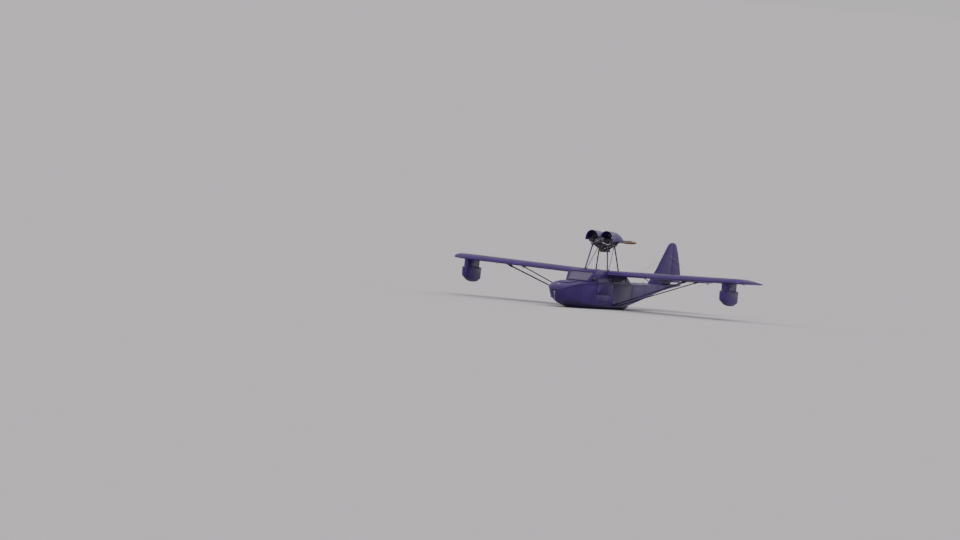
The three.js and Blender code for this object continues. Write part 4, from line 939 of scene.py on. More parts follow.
# Ignition leads to the upper plugs, intake pipes from the air box and exhaust clamps
leads = Shape("ignition_lead", RUBBER, BOTH, smooth=True)
intakes = Shape("intake_pipe", BRIGHT, BOTH, smooth=True)
intake_flanges = Shape("intake_flange", CASTING, BOTH)
for k, y in enumerate(CYLINDER_PLACES):
    leads.pipe(curve_through([
        (0.012 + 0.01 * k, -0.02, 2.238), (0.03, -0.05, 2.262), (0.06, y * 0.6 - 0.04, 2.256),
        (0.14, y * 0.9, 2.235), (0.26, y - 0.004, 2.225), (0.35, y - 0.012, 2.236),
        (0.378, y - 0.012, 2.236), (0.382, y - 0.012, 2.234),
    ]), 0.0042)
    knots = [(0.08, -0.58, 2.06), (0.17, -0.56, 2.03), (0.25, -0.5, 2.005), (0.3, y - 0.1, 1.995),
             (0.33, y - 0.075, 2.02), (0.352, y - 0.066, 2.052)]
    if y > -0.2:
        knots.insert(3, (0.285, -0.38, 1.997))
    intakes.pipe(curve_through(knots), 0.017, 14)
    intake_flanges.lathe((0.346, y - 0.066, 2.032), (0.35, 0, 0.9), [(0, 0.024), (0.008, 0.024)], 14)
clamps = Shape("exhaust_clamp", BRIGHT, BOTH)
clamps.band((0.346, -0.255, 1.985), AFT, 0.0375, 0.0355, 0.002, 0.026, 18)
clamps.box((0.34, -0.25, 1.94), (0.352, -0.235, 1.952))

# Crankcase: split line flange, bolts, magneto cap and oil filler cap
case_bolts = Shape("crankcase_bolt", BRIGHT)
for x, y in product((-0.018, 0.018), (-0.45, -0.37, -0.24, -0.11, -0.05)):
    case_bolts.lathe((x, y, CASE_TOP + 0.0015), UP, [
        (0, 0.009), (0.002, 0.009), (0.0021, 0.007), (0.009, 0.007), (0.0101, 0.004),
    ], 6)
for side, y in product((-1, 1), (-0.41, -0.07)):
    case_bolts.bolt((side * 0.136, y, 2.005), LEFT * side, [(0.013, 0.005), (0.009, 0.009)], start=-0.002)
split_flange = Shape("crankcase_split_flange", CASTING)
split_flange.box((-0.006, -0.46, CASE_TOP - 0.0005), (0.006, -0.04, CASE_TOP + 0.0055))
sump_bolts = Shape("sump_bolt", BRIGHT)
for side, y in product((-1, 1), (-0.39, -0.3, -0.21, -0.12)):
    sump_bolts.lathe((side * 0.0915, y, 1.955), LEFT * side, [(0, 0.007), (0.005, 0.007), (0.006, 0.004)], 6)
sump_bolts.bolt((0.03, -0.41, 1.9), -AFT, [(0.014, 0.004), (0.011, 0.01)])
MAGNETO_Z = 2.218
magneto = Shape("magneto_cap", PANEL)
magneto.lathe((0, 0.092, MAGNETO_Z), AFT, [(-0.002, 0.027), (0.01, 0.027), (0.018, 0.02), (0.022, 0.01)], 20)
for tower in circle(0.018, 4, vec(0, -0.02, MAGNETO_Z), first=45):
    magneto.rod(tower, tower - AFT * 0.015, 0.0065)
Shape("oil_filler_cap", BRASS).lathe((0, -0.33, 2.256), UP, [
    (0, 0.0235), (0.01, 0.0235), (0.0101, 0.018), (0.016, 0.016),
], 10)

# Air box mouth with a black disc in it as painted shade for its dark inside, screen and latches
MOUTH_Z, MOUTH_RADIUS = 2.07, 0.031
# A thin black disc across the mouth: painted shade in place of the shaded hollow of the box
shade_disc = Shape("air_box_painted_shade_disc", PANEL)
shade_disc.lathe((0, -0.6812, MOUTH_Z), AFT, [(0, MOUTH_RADIUS), (0.0008, MOUTH_RADIUS)], 24)
air = Shape("air_box_mouth", BRIGHT)
air.pipe(arc(MOUTH_RADIUS + 0.003, 0, 360, 32, vec(0, -0.686, MOUTH_Z)), 0.0042, 10)
for off in (0.009 * k for k in range(-3, 4)):
    reach = math.sqrt(MOUTH_RADIUS ** 2 - off ** 2)
    air.rod((off, -0.684, MOUTH_Z - reach), (off, -0.684, MOUTH_Z + reach), 0.0009, 5)
    air.rod((-reach, -0.685, MOUTH_Z + off), (reach, -0.685, MOUTH_Z + off), 0.0009, 5)
for side in (-1, 1):
    air.box((side * 0.088, -0.6, 2.085), (side * 0.0925, -0.58, 2.115))
    air.screw((side * 0.0925, -0.59, 2.1), LEFT * side, 0.005, 0.003)

# Exhaust: drum bands and the tail pipe's lip
bands = Shape("muffler_band", BRIGHT)
for y in (-0.37, -0.19, -0.02):
    bands.band((0, y, 1.802), AFT, 0.0585, 0.0565, 0.002, 0.016, 24)
bands.band((0, 0.105, 1.789), (0, 1, -0.15), 0.0265, 0.0248, 0.004, 0.018, 18)

# Scoop edges: rolled lip, rivets along the arch and support stays
SCOOP_X, SCOOP_HALF = 0.265, 0.231
SCOOP_MOUTH_Y = -0.56
SCOOP_FOOT, SCOOP_RISE = 2.096, 0.312
full_arch = [
    vec(SCOOP_X + SCOOP_HALF * math.cos(a), SCOOP_MOUTH_Y, SCOOP_FOOT + SCOOP_RISE * math.sin(a) ** 0.8)
    for a in (math.pi * i / 32 for i in range(33))
]
arch = [point for point in full_arch if point.x >= CASE_HALF + 0.004 or point.z >= CASE_TOP + 0.006]
Shape("scoop_lip", HULL_PAINT, BOTH, smooth=True).pipe(arch, 0.0055)
scoop_rivets = Shape("scoop_rivet", BRIGHT, BOTH)
for point in arch[2:-1:2]:
    outward = (point - vec(SCOOP_X, SCOOP_MOUTH_Y, 2.12)).normalized()
    scoop_rivets.screw(point + AFT * 0.035 + outward * 0.0005, outward, 0.0045, 0.002)
scoop_stays = Shape("scoop_stay", STEEL, BOTH)
scoop_stays.rod((0.452, -0.355, 2.13), (0.487, -0.355, 2.155), 0.005, 8)
scoop_stays.rod((0.452, -0.125, 2.13), (0.483, -0.125, 2.155), 0.005, 8)

# Propeller: hub plate with bolts, and riveted sheaths round the leading edges of the tips
PROP_Y = 0.38
# Distance out, chord, pitch in degrees and thickness
TIP_ROWS = [(0.6, 0.108, 19.6, 0.0112), (0.66, 0.102, 18, 0.01), (0.705, 0.0865, 16.5, 0.0085),
            (0.748, 0.072, 15, 0.007), (0.776, 0.039, 14.1, 0.0053)]
# Shares of the chord and of the thickness
SHEATH_SECTION = [(0.24, 0.366), (0.3, 0.34), (0.5, 0.0), (0.3, -0.2), (0.24, -0.217)]
SHEATH_WRAP = 0.0015


def blade_point(row, across, deep, lift=0.0):
    out, chord, pitch, thick = row
    angle = math.radians(pitch)
    across, deep = across * chord, deep * thick + math.copysign(lift, deep + 0.01)
    return vec(out, PROP_Y + across * math.sin(angle) + deep * math.cos(angle),
               CRANK_Z + across * math.cos(angle) - deep * math.sin(angle))


hub = Shape("propeller_hub_plate", BRIGHT, "propeller")
hub.lathe((0, 0.438, CRANK_Z), AFT, [(0, 0.0605), (0.005, 0.0605), (0.006, 0.057)], 28)
for place in circle(0.045, 6, vec(0, 0.4435, CRANK_Z), first=30):
    hub.bolt(place, AFT, [(0.0075, 0.007), (0.0045, 0.004)])
sheath = Shape("blade_tip_sheath", BRASS, "propeller")
wraps = []
for row in TIP_ROWS:
    outer = [
        blade_point(row, a + SHEATH_WRAP / row[1], d) if a == 0.5 else blade_point(row, a, d, 0.0008)
        for a, d in SHEATH_SECTION
    ]
    wraps.append(outer + [blade_point(row, a - 0.06, d, -0.001) for a, d in reversed(SHEATH_SECTION)])
sheath.skin(wraps)
sheath.both_sides(CRANK_Z)
tip_rivets = Shape("blade_tip_rivet", BRASS, "propeller")
for row in TIP_ROWS[1:4]:
    tip_rivets.screw(blade_point(row, 0.33, 0.32, 0.0006), (0, 1, -0.3), 0.0028, 0.0014)
    tip_rivets.screw(blade_point(row, 0.33, -0.19, 0.0006), (0, -1, 0.3), 0.0028, 0.0014)
tip_rivets.both_sides(CRANK_Z)

# Hull stations: y, keel z, chine x, chine z, sheer x, sheer z, crown z
HULL_ROWS = [
    (-2.85, 0.4, 0.07, 0.44, 0.13, 0.52, 0.545), (-2.825, 0.27, 0.14, 0.39, 0.215, 0.56, 0.59),
    (-2.75, 0.175, 0.205, 0.345, 0.29, 0.605, 0.64), (-2.6, 0.13, 0.285, 0.31, 0.362, 0.655, 0.695),
    (-2.4, 0.08, 0.355, 0.27, 0.425, 0.705, 0.748), (-2.1, 0.01, 0.432, 0.22, 0.487, 0.762, 0.802),
    (-1.76, -0.06, 0.49, 0.172, 0.525, 0.8, 0.834), (-1.29, -0.13, 0.535, 0.13, 0.55, 0.8, 0.838),
    (-0.7, -0.172, 0.545, 0.104, 0.55, 0.8, 0.838), (0.548, -0.172, 0.545, 0.1, 0.55, 0.8, 0.84),
    (0.55, -0.06, 0.543, 0.158, 0.55, 0.8, 0.84), (1.2, 0.14, 0.49, 0.3, 0.512, 0.8, 0.842),
    (1.8, 0.31, 0.412, 0.428, 0.44, 0.802, 0.842), (2.4, 0.47, 0.325, 0.556, 0.354, 0.806, 0.843),
    (3.0, 0.605, 0.232, 0.664, 0.262, 0.812, 0.845), (3.65, 0.725, 0.142, 0.756, 0.168, 0.822, 0.852),
    (4.16, 0.792, 0.076, 0.806, 0.098, 0.834, 0.858), (4.31, 0.814, 0.036, 0.824, 0.05, 0.84, 0.86),
]
# Share of the half width, share of the crown
DECK_ARCH = [(0, 1), (0.36, 0.95), (0.72, 0.74), (0.97, 0.3), (1, 0)]
DOOR_FRONT, DOOR_BACK = -1.28, -0.38
# The rub strake lies just below the sheer
STRAKE_SHARE, STRAKE_THICK = 0.965, 0.01


def hull_at(y, column):
    return between(HULL_ROWS, y, column)


def side_point(y, share):
    """A point of the left side, share 0 at the chine and 1 at the sheer."""
    return vec(hull_at(y, 2), y, hull_at(y, 3)).lerp(vec(hull_at(y, 4), y, hull_at(y, 5)), share)


def side_normal(y, share):
    ahead = side_point(y + 0.01, share) - side_point(y - 0.01, share)
    return facing(ahead.cross(side_point(y, 1) - side_point(y, 0)), LEFT)


def deck_point(y, x):
    """A point just above the crowned deck."""
    half, edge, crown = (hull_at(y, column) for column in (4, 5, 6))
    return vec(x, y, edge + 0.0003 + (crown - edge) * between(DECK_ARCH, min(1, abs(x) / half), 1))


def spaced(first, last, step):
    count = max(1, round((last - first) / step))
    return [first + (last - first) * i / count for i in range(count + 1)]


# Rub strakes, keel strip, stem band, chine screws, butt straps and seam strips
for k, (first, last, bodies) in enumerate((
    (-2.84, DOOR_FRONT - 0.03, BOTH), (DOOR_FRONT + 0.008, DOOR_BACK - 0.008, DOORS),
    (DOOR_BACK + 0.02, 4.28, BOTH),
)):
    ys = spaced(first, last, 0.06 if first < -2 else 0.15)
    strake = Shape(f"rub_strake_{k}", STRUT_PAINT, bodies)
    normals = [side_normal(y, 0.9) for y in ys]
    strake.ribbon([side_point(y, STRAKE_SHARE) for y in ys], UP, 0.026, normals, STRAKE_THICK)
    strake_screws = Shape(f"rub_strake_screw_{k}", BRIGHT, bodies)
    for y in spaced(first + 0.05, last - 0.04, 0.16):
        normal = side_normal(y, 0.9)
        strake_screws.screw(side_point(y, STRAKE_SHARE) + normal * STRAKE_THICK, normal, 0.004, 0.0015)
keel_line = [vec(0, y, hull_at(y, 1)) for y in spaced(-2.58, 0.54, 0.05)]
Shape("keel_strip", BRIGHT).ribbon(keel_line, LEFT, 0.034, -UP, 0.006)
Shape("stem_band", BRIGHT, smooth=True).pipe([
    (0, -2.6, 0.129), (0, -2.68, 0.15), (0, -2.75, 0.175), (0, -2.79, 0.222), (0, -2.826, 0.272),
    (0, -2.839, 0.335), (0, -2.851, 0.4), (0, -2.852, 0.45),
], 0.009)
chine_screws = Shape("chine_screw", BRIGHT, BOTH)
for first, last, step, share in ((-2.55, 0.5, 0.11, 0.06), (0.62, 4.1, 0.13, 0.08)):
    for y in spaced(first, last, step):
        chine_screws.screw(side_point(y, share), side_normal(y, 0.1), 0.0035, 0.0012)
straps = Shape("side_butt_strap", HULL_PAINT, BOTH)
for y in (-2.0, 0.75, 1.65, 2.6):
    straps.ribbon([side_point(y, share) for share in (0.1, 0.5, 0.92)], AFT, 0.05, side_normal(y, 0.5), 0.002)
ys = spaced(0.56, 4.28, 0.3)
after_chine = Shape("after_chine_strip", HULL_PAINT, BOTH)
after_chine.ribbon([side_point(y, 0) for y in ys], UP, 0.028, [side_normal(y, 0.1) for y in ys], 0.004)
deck_seams = Shape("deck_seam_strip", HULL_PAINT)
for first, last in ((-2.8, -2.36), (-1.92, -1.66), (0.68, 2.4)):
    deck_seams.ribbon([deck_point(y, 0) for y in spaced(first, last, 0.12)], LEFT, 0.04, UP, 0.003)

# Bow ring and bumper, deck cleats, foredeck hatch and after deck covers
bow_ring = Shape("bow_ring", BRIGHT)
bow_ring.links(arc(1, 0, 180, 14, vec(0, -2.852, 0.46), UP * 0.03, AFT * -0.035), 0.005)
bow_ring.box((-0.018, -2.857, 0.42), (0.018, -2.849, 0.5))
Shape("bow_bumper", RUBBER, smooth=True).pipe([
    deck_point(-2.848, -0.1) - UP * 0.01, (-0.07, -2.858, 0.528), (0, -2.862, 0.532), (0.07, -2.858, 0.528),
    deck_point(-2.848, 0.1) - UP * 0.01,
], 0.014, 12)
CLEAT_LENGTH = 0.14
for name, y in (("bow_cleat", -2.62), ("stern_cleat", 2.2)):
    cleat, top = Shape(name, BRIGHT, smooth=True), deck_point(y, 0)
    half = CLEAT_LENGTH * 0.36
    cleat.box_at(top, (-0.022, -half, -0.004), (0.022, half, 0.005))
    for reach in (-CLEAT_LENGTH, CLEAT_LENGTH):
        cleat.rod(top + AFT * reach * 0.16, top + vec(0, reach * 0.13, 0.034), 0.009)
        cleat.screw(top + vec(0, reach * 0.3, 0.005), UP, 0.005, 0.002)
    cleat.pipe([
        top + vec(0, CLEAT_LENGTH * share, rise)
        for share, rise in ((-1 / 2, 0.044), (-1 / 3, 0.04), (0, 0.038), (1 / 3, 0.04), (1 / 2, 0.044))
    ], 0.0075, 10)


def deck_patch(name, look, first, last, half, lift, steps=8):
    """A raised panel that follows the deck's crown."""
    rings = []
    for y in (first + (last - first) * i / steps for i in range(steps + 1)):
        row = [deck_point(y, half * (2 * i / steps - 1)) for i in range(steps + 1)]
        rings.append([point + UP * lift for point in row] + [point - UP * 0.004 for point in reversed(row)])
    Shape(name, look).skin(rings)


HATCH_LIFT = 0.02
HATCH_FRONT, HATCH_BACK, HATCH_HALF, HATCH_RIM = -2.33, -1.95, 0.2, 0.022
deck_patch("foredeck_hatch", HULL_PAINT, HATCH_FRONT, HATCH_BACK, HATCH_HALF, HATCH_LIFT)
deck_patch("foredeck_hatch_rim", STRUT_PAINT, HATCH_FRONT - HATCH_RIM, HATCH_BACK + HATCH_RIM,
           HATCH_HALF + HATCH_RIM, 0.009)
hatch_iron = Shape("foredeck_hatch_fittings", BRIGHT)
for x in (-0.12, 0.12):
    at = deck_point(HATCH_BACK + 0.01, x) + UP * HATCH_LIFT
    hatch_iron.box_at(at, (-0.025, -0.035, -0.006), (0.025, 0.03, 0.002))
    hatch_iron.rod(at + vec(-0.026, 0, 0.003), at + vec(0.026, 0, 0.003), 0.004)
at = deck_point(HATCH_FRONT + 0.02, 0) + UP * HATCH_LIFT
hatch_iron.bolt(at, UP, [(0.018, 0.003), (0.008, 0.007)], 14)
hatch_iron.box_at(at, (-0.006, -0.024, 0.008), (0.006, 0.024, 0.014))
deck_covers = Shape("aft_deck_cover", STRUT_PAINT)
cover_screws = Shape("aft_deck_cover_screw", BRIGHT)
for y, x in ((1.1, 0.2), (1.1, -0.2), (1.95, 0.14), (1.95, -0.14), (2.8, 0.08)):
    at = deck_point(y, x)
    slope = (deck_point(y, x + 0.02) - deck_point(y, x - 0.02)).normalized()
    normal = facing(slope.cross(AFT), UP)
    deck_covers.lathe(at - normal * 0.003, normal, [
        (0, 0.075), (0.007, 0.073), (0.009, 0.066), (0.009, 0.03), (0.011, 0.026),
    ], 28)
    for place in circle(0.067, 6, at + normal * 0.0055, slope, AFT):
        cover_screws.screw(place, normal, 0.004, 0.002)

# Cabin surfaces, for the trims round the glass
COWL_FOOT, COWL_TOP, COWL_HALF = -1.64, 0.838, 0.4
SHIELD_TOP_Y, SHIELD_TOP_Z = -1.325, 1.158
ROOF_Z = 1.178
CABIN_SIDE, CABIN_TOP_SIDE, SHEER_Z = 0.55, 0.5, 0.8
CABIN_MIDDLE = vec(0, -0.6, 0.85)
TRIM_THICK = 0.0025
TRIM_OVERLAP = 0.35


def shield_place(x, z):
    share = (z - COWL_TOP) / (SHIELD_TOP_Z - COWL_TOP)
    return vec(x, COWL_FOOT + share * (SHIELD_TOP_Y - COWL_FOOT), z)


def roof_place(x, y):
    return vec(x, y, ROOF_Z)


def side_place(y, z):
    """A point of the cabin's left side, flat behind the door post and tapered ahead of it."""
    if z <= WING_BOTTOM:
        flat = CABIN_SIDE - (CABIN_SIDE - CABIN_TOP_SIDE) * (z - SHEER_Z) / (WING_BOTTOM - SHEER_Z)
    else:
        flat = CABIN_TOP_SIDE - 0.026 * (z - WING_BOTTOM) / (ROOF_Z + 0.01 - WING_BOTTOM)
    tapered = COWL_HALF + (CABIN_SIDE - COWL_HALF) * (y - COWL_FOOT) / (DOOR_FRONT - 0.014 - COWL_FOOT)
    return vec(min(flat, tapered), y, z)


def edge_trim(name, bodies, width, place, outline):
    """A flat frame round an opening, with screws along it; place sets a point of the outline on the cabin."""
    trim, screws = Shape(name + "_trim", STRUT_PAINT, bodies), Shape(name + "_screw", BRIGHT, bodies)
    outline = [Vector(point) for point in outline]
    centre = sum(outline, Vector((0, 0))) / len(outline)
    outside = place(*centre) - CABIN_MIDDLE
    for edge, (a, b) in enumerate(zip(outline, outline[1:] + outline[:1])):
        length, ahead = (b - a).length, (b - a).normalized()
        out = Vector((ahead.y, -ahead.x))
        if out.dot((a + b) / 2 - centre) < 0:
            out = -out
        start = a + out * width * (0.5 - TRIM_OVERLAP)
        # Each strip covers its first corner and stops short of its last one
        first, last = -(1 - TRIM_OVERLAP) * width, length - TRIM_OVERLAP * width + 0.0015
        points, normals, ways = [], [], []
        count = max(2, int(length / 0.12) + 1)
        for far in (first + (last - first) * i / count for i in range(count + 1)):
            p = start + ahead * far
            along, over = (place(*(p + way * 0.004)) - place(*(p - way * 0.004)) for way in (ahead, out))
            points.append(place(*p))
            normals.append(facing(along.cross(over), outside))
            ways.append(over.normalized())
        trim.ribbon(points, ways, width, normals, TRIM_THICK + 0.0004 * (edge % 2))
        count = max(1, int(length / 0.1))
        for far in (length * (i + 0.5) / count for i in range(count)):
            screws.screw(place(*(start + ahead * far)) + normals[0] * TRIM_THICK, normals[0], 0.0035, 0.0014)


for trim in (
    ("windshield", "airframe", 0.026, shield_place,
     [(-0.358, 0.868), (0.358, 0.868), (0.426, 1.124), (-0.426, 1.124)]),
    ("skylight", "airframe", 0.026, roof_place,
     [(-0.33, -1.225), (0.33, -1.225), (0.33, -0.815), (-0.33, -0.815)]),
    ("quarter_window", BOTH, 0.022, side_place, [(-1.548, 0.862), (-1.34, 0.862), (-1.34, 1.064)]),
    ("rear_window", BOTH, 0.022, side_place, [(-0.3, 0.858), (0.33, 0.858), (0.33, 0.975), (-0.3, 0.975)]),
    ("door_window", DOORS, 0.022, side_place,
     [(-1.235, 0.822), (-0.425, 0.822), (-0.425, 0.958), (-1.165, 0.958), (-1.235, 0.905)]),
):
    edge_trim(*trim)

# Centre stay behind the windshield, and a rubber bead at its foot
stay_ends = [shield_place(0, z) + vec(0, 0.016, -0.016) for z in (0.87, 1.12)]
Shape("windshield_stay", STRUT_PAINT).rod(*stay_ends, 0.007)
Shape("cowl_bead", RUBBER, smooth=True).pipe([
    (-0.395, -1.638, 0.838), (-0.2, -1.642, 0.842), (0, -1.643, 0.845), (0.2, -1.642, 0.842),
    (0.395, -1.638, 0.838),
], 0.006)

# Door handles, locks and linings, and a boarding step under each door
handle = Shape("door_handle", BRIGHT, DOORS, smooth=True)
at = vec(side_point(-0.455, 0.917).x, -0.455, 0.742)
handle.lathe(at, LEFT, [(-0.001, 0.022), (0.004, 0.021), (0.0041, 0.009), (0.024, 0.009)], 18)
grip = ((0.024, 0.012, 0), (0.026, -0.02, 0), (0.026, -0.06, -0.002), (0.022, -0.095, -0.006))
handle.pipe([at + Vector(p) for p in grip], 0.0065, 10)
handle.bolt(at - UP * 0.055, LEFT, [(0.009, 0.004), (0.006, 0.002)], 14, -0.001)
pull_line = [(0.526, -0.5), (0.505, -0.5), (0.5, -0.53), (0.5, -0.6), (0.505, -0.63), (0.526, -0.63)]
Shape("door_pull", RUBBER, DOORS, smooth=True).pipe([(x, y, 0.7) for x, y in pull_line], 0.006)
door_lining = Shape("door_lining", SEAT, DOORS)
door_lining.box((0.516, -1.22, 0.5), (0.5245, -0.43, 0.79))
door_lining.box((0.505, -1.1, 0.5), (0.516, -0.7, 0.62))
step = Shape("boarding_step", STEEL, BOTH)
for y in (-0.98, -0.8):
    step.pipe([
        side_point(y, 0.2) - LEFT * 0.003, side_point(y, 0.19) + vec(0.03, 0, -0.004),
        side_point(y, 0.15) + vec(0.055, 0, -0.012),
    ], 0.007)
TREAD_TOP = 0.198
step.box((0.585, -1.03, TREAD_TOP - 0.008), (0.62, -0.75, TREAD_TOP))
for y in (-1.018 + 0.032 * i for i in range(9)):
    step.box((0.588, y, TREAD_TOP), (0.617, y + 0.008, TREAD_TOP + 0.0025))

# Instrument panel: bezels, dials, needles, switches, throttle, compass and glare shield roll
PANEL_Y = -1.18
SWITCH_Z = 0.6
# x, z, radius, needle angle in degrees
DIALS = [
    (-0.3, 0.73, 0.04, 40), (-0.2, 0.73, 0.04, -60), (-0.1, 0.73, 0.04, 130), (0.1, 0.73, 0.04, 200),
    (0.2, 0.73, 0.04, 15), (0.3, 0.73, 0.04, 250), (-0.25, 0.635, 0.03, 75), (-0.16, 0.635, 0.03, -30),
    (0.16, 0.635, 0.03, 160), (0.25, 0.635, 0.03, 300),
]
bezels, faces, marks = Shape("dial_bezel", STEEL), Shape("dial_face", PANEL), Shape("dial_mark", DIAL)
for x, z, radius, angle in DIALS:
    middle = vec(x, PANEL_Y, z)
    bezels.lathe(middle + AFT * 0.0003, AFT, [
        (0, radius), (0.008, radius), (0.01, radius * 0.93), (0.01, radius * 0.86), (0.004, radius * 0.85),
    ], 28)
    faces.lathe(middle + AFT * 0.0046, AFT, [(0, radius * 0.85), (0.0012, radius * 0.85)], 24)
    start = middle + AFT * 0.0062
    for out in circle(radius, 12, vec(0, 0, 0)):
        marks.rod(start + out * 0.68, start + out * 0.8, 0.0007, 4)
    start = middle + AFT * 0.0066
    out = circle(radius, 1, vec(0, 0, 0), first=angle)[0]
    marks.rod(start - out * 0.15, start + out * 0.62, 0.0012, 5, 0.0004)
    marks.lathe(start - AFT * 0.0008, AFT, [(0, 0.003), (0.0015, 0.0025)], 10)
switches = Shape("panel_switch", BRIGHT)
for x in (-0.06 + 0.03 * k for k in range(5)):
    switches.bolt((x, PANEL_Y, SWITCH_Z), AFT, [(0.008, 0.004), (0.005, 0.004)], 10)
    switches.rod((x, PANEL_Y + 0.007, SWITCH_Z), (x, PANEL_Y + 0.022, SWITCH_Z + 0.006), 0.0025, 8, 0.0035)
for x, z in product((-0.48, -0.24, 0, 0.24, 0.48), (0.575, 0.79)):
    switches.screw((x, PANEL_Y, z), AFT, 0.004, 0.002)
throttle = Shape("throttle_knob", RUBBER)
for x, reach, radius in ((0.035, 0.07, 0.016), (-0.035, 0.045, 0.012)):
    throttle.lathe((x, PANEL_Y, 0.665), AFT, [
        (0, 0.011), (0.006, 0.011), (0.0061, 0.005), (reach, 0.005), (reach + 0.001, radius),
        (reach + 0.014, radius), (reach + 0.018, radius * 0.7),
    ])
compass = Shape("compass", PANEL)
compass.bolt((0, -1.24, 0.812), UP, [(0.03, 0.006), (0.02, 0.008)], 20)
compass.lathe((0, -1.27, 0.852), AFT, [
    (-0.002, 0.02), (0, 0.036), (0.05, 0.036), (0.054, 0.03), (0.054, 0.026), (0.05, 0.025),
], 24)
roll_line = [(x, -1.162, 0.812) for x in (-0.49, -0.25, 0, 0.25, 0.49)]
Shape("glare_shield_roll", RUBBER, smooth=True).pipe(roll_line, 0.011, 10)

# Control wheels, pedals, mats, side linings and roof bows
wheel = Shape("control_wheel", RUBBER, smooth=True)
for side in (-1, 1):
    hub_at = vec(side * 0.2, -1.05, 0.566)
    wheel.pipe([(0, -1.038, 0.548), (side * 0.1, -1.045, 0.556), hub_at], 0.012, 10)
    wheel.rod(hub_at, hub_at + vec(0, 0.05, 0.004), 0.018, 14)
    ring_at = hub_at + vec(0, 0.045, 0.004)
    wheel.pipe(arc(0.105, 150, 390, 16, ring_at), 0.011)
    for end in circle(0.1, 4, ring_at, first=180)[:3]:
        wheel.rod(ring_at, end, 0.007, 8)
pedals = Shape("rudder_pedal", STEEL)
for x in (-0.26, -0.1, 0.1, 0.26):
    pedals.rod((x, -1.42, 0.192), (x, -1.45, 0.33), 0.008, 8)
    pedals.box((x - 0.035, -1.465, 0.32), (x + 0.035, -1.445, 0.42))
    for z in (0.335 + 0.022 * i for i in range(4)):
        pedals.box((x - 0.033, -1.445, z), (x + 0.033, -1.441, z + 0.007))
pedals.rod((-0.29, -1.42, 0.2), (0.29, -1.42, 0.2), 0.01)
CABIN_FLOOR, FOOT_FLOOR = 0.09, 0.19
mats = Shape("floor_mat", CARPET)
for left, front, right, back in (
    (-0.42, -1.19, -0.05, -0.915), (0.05, -1.19, 0.42, -0.915), (-0.42, -0.18, 0.42, 0.4),
):
    mats.box((left, front, CABIN_FLOOR + 0.0003), (right, back, CABIN_FLOOR + 0.006))
mats.box((-0.21, -1.58, FOOT_FLOOR + 0.0003), (0.21, -1.25, FOOT_FLOOR + 0.005))
LINING_X = 0.5165
lining = Shape("side_lining", SEAT, BOTH)
lining.box((LINING_X, -0.34, 0.2), (LINING_X + 0.008, 0.41, 0.78))
for y in (-0.15, 0.1, 0.32):
    lining.box((LINING_X - 0.0055, y - 0.006, 0.21), (LINING_X, y + 0.006, 0.77))
bows = Shape("roof_bow", STEEL)
for y in (-0.72, -0.4, -0.08, 0.24):
    bows.box((-0.48, y - 0.012, WING_BOTTOM - 0.012), (0.48, y + 0.012, WING_BOTTOM - 0.0006))

# Seats: padded cushions swollen by a cloth simulation, with sewn channels, piping and lap belts
VOXEL = 0.009
SWELL_FRAMES = 20
SWELL_CAP = 0.014
PAD_INSET = 0.014
CHANNELS = (-0.27, -0.14, 0.14, 0.27)
# Half sizes and middles of the two pads; the back's own y runs up its lean and its own z forward
CUSHION_HALF, CUSHION_MIDDLE = vec(0.408, 0.228, 0.06375), (0, -0.67, 0.15425)
BACK_HALF, BACK_MIDDLE = vec(0.408, 0.268, 0.0405), (0, -0.3213, 0.365)
BACK_LEAN = math.atan2(0.1275, 0.55)


def evaluated(piece):
    return piece.evaluated_get(bpy.context.evaluated_depsgraph_get())


def apply_all(piece):
    """Replaces the mesh of a piece by its shape with all its modifiers."""
    mesh = bpy.data.meshes.new_from_object(evaluated(piece))
    piece.modifiers.clear()
    piece.data = mesh


def swell(piece):
    """Blows the pad up by cloth pressure, each vertex by SWELL_CAP at most."""
    start = [vertex.co.copy() for vertex in piece.data.vertices]
    cloth = piece.modifiers.new("cloth", "CLOTH")
    cloth.settings.use_pressure = True
    cloth.settings.uniform_pressure_force = 4
    cloth.settings.quality = 4
    cloth.settings.effector_weights.gravity = 0
    cloth.point_cache.frame_end = SWELL_FRAMES
    for number in range(1, SWELL_FRAMES + 1):
        bpy.context.scene.frame_set(number)
    steps = [vertex.co - a for vertex, a in zip(evaluated(piece).data.vertices, start)]
    piece.modifiers.clear()
    bpy.context.scene.frame_set(1)
    for vertex, a, step in zip(piece.data.vertices, start, steps):
        vertex.co = a + step * min(1, SWELL_CAP / max(step.length, 1e-6))


def swollen_pad(name, half, inset_z, bulge):
    """A stuffed pad about its own middle, with its crown along local z; it stays inside its half sizes."""
    block = Shape(name, SEAT, None, smooth=True)
    inner = half - vec(PAD_INSET, PAD_INSET, inset_z)
    block.box(-inner, inner)
    piece = block.put()
    remesh = piece.modifiers.new("remesh", "REMESH")
    remesh.mode = "VOXEL"
    remesh.voxel_size = VOXEL
    piece.modifiers.new("rounding", "SMOOTH").iterations = 6
    apply_all(piece)
    swell(piece)
    for co in (vertex.co for vertex in piece.data.vertices):
        if co.z > 0:
            crown = max(0, 1 - (co.x / half.x) ** 4) * max(0, 1 - (co.y / half.y) ** 4)
            co.z += bulge * crown
            co.z -= 0.02 * math.exp(-(co.x / 0.012) ** 2) * crown + 0.0015 * noise.noise(co * 22)
            for channel in CHANNELS:
                co.z -= 0.006 * math.exp(-((co.x - channel) / 0.008) ** 2) * crown
        for axis in range(3):
            co[axis] = max(-half[axis], min(half[axis], co[axis]))
    rounder = piece.modifiers.new("rounder", "SUBSURF")
    rounder.levels = rounder.render_levels = 1
    apply_all(piece)
    for polygon in piece.data.polygons:
        polygon.use_smooth = True
    return piece


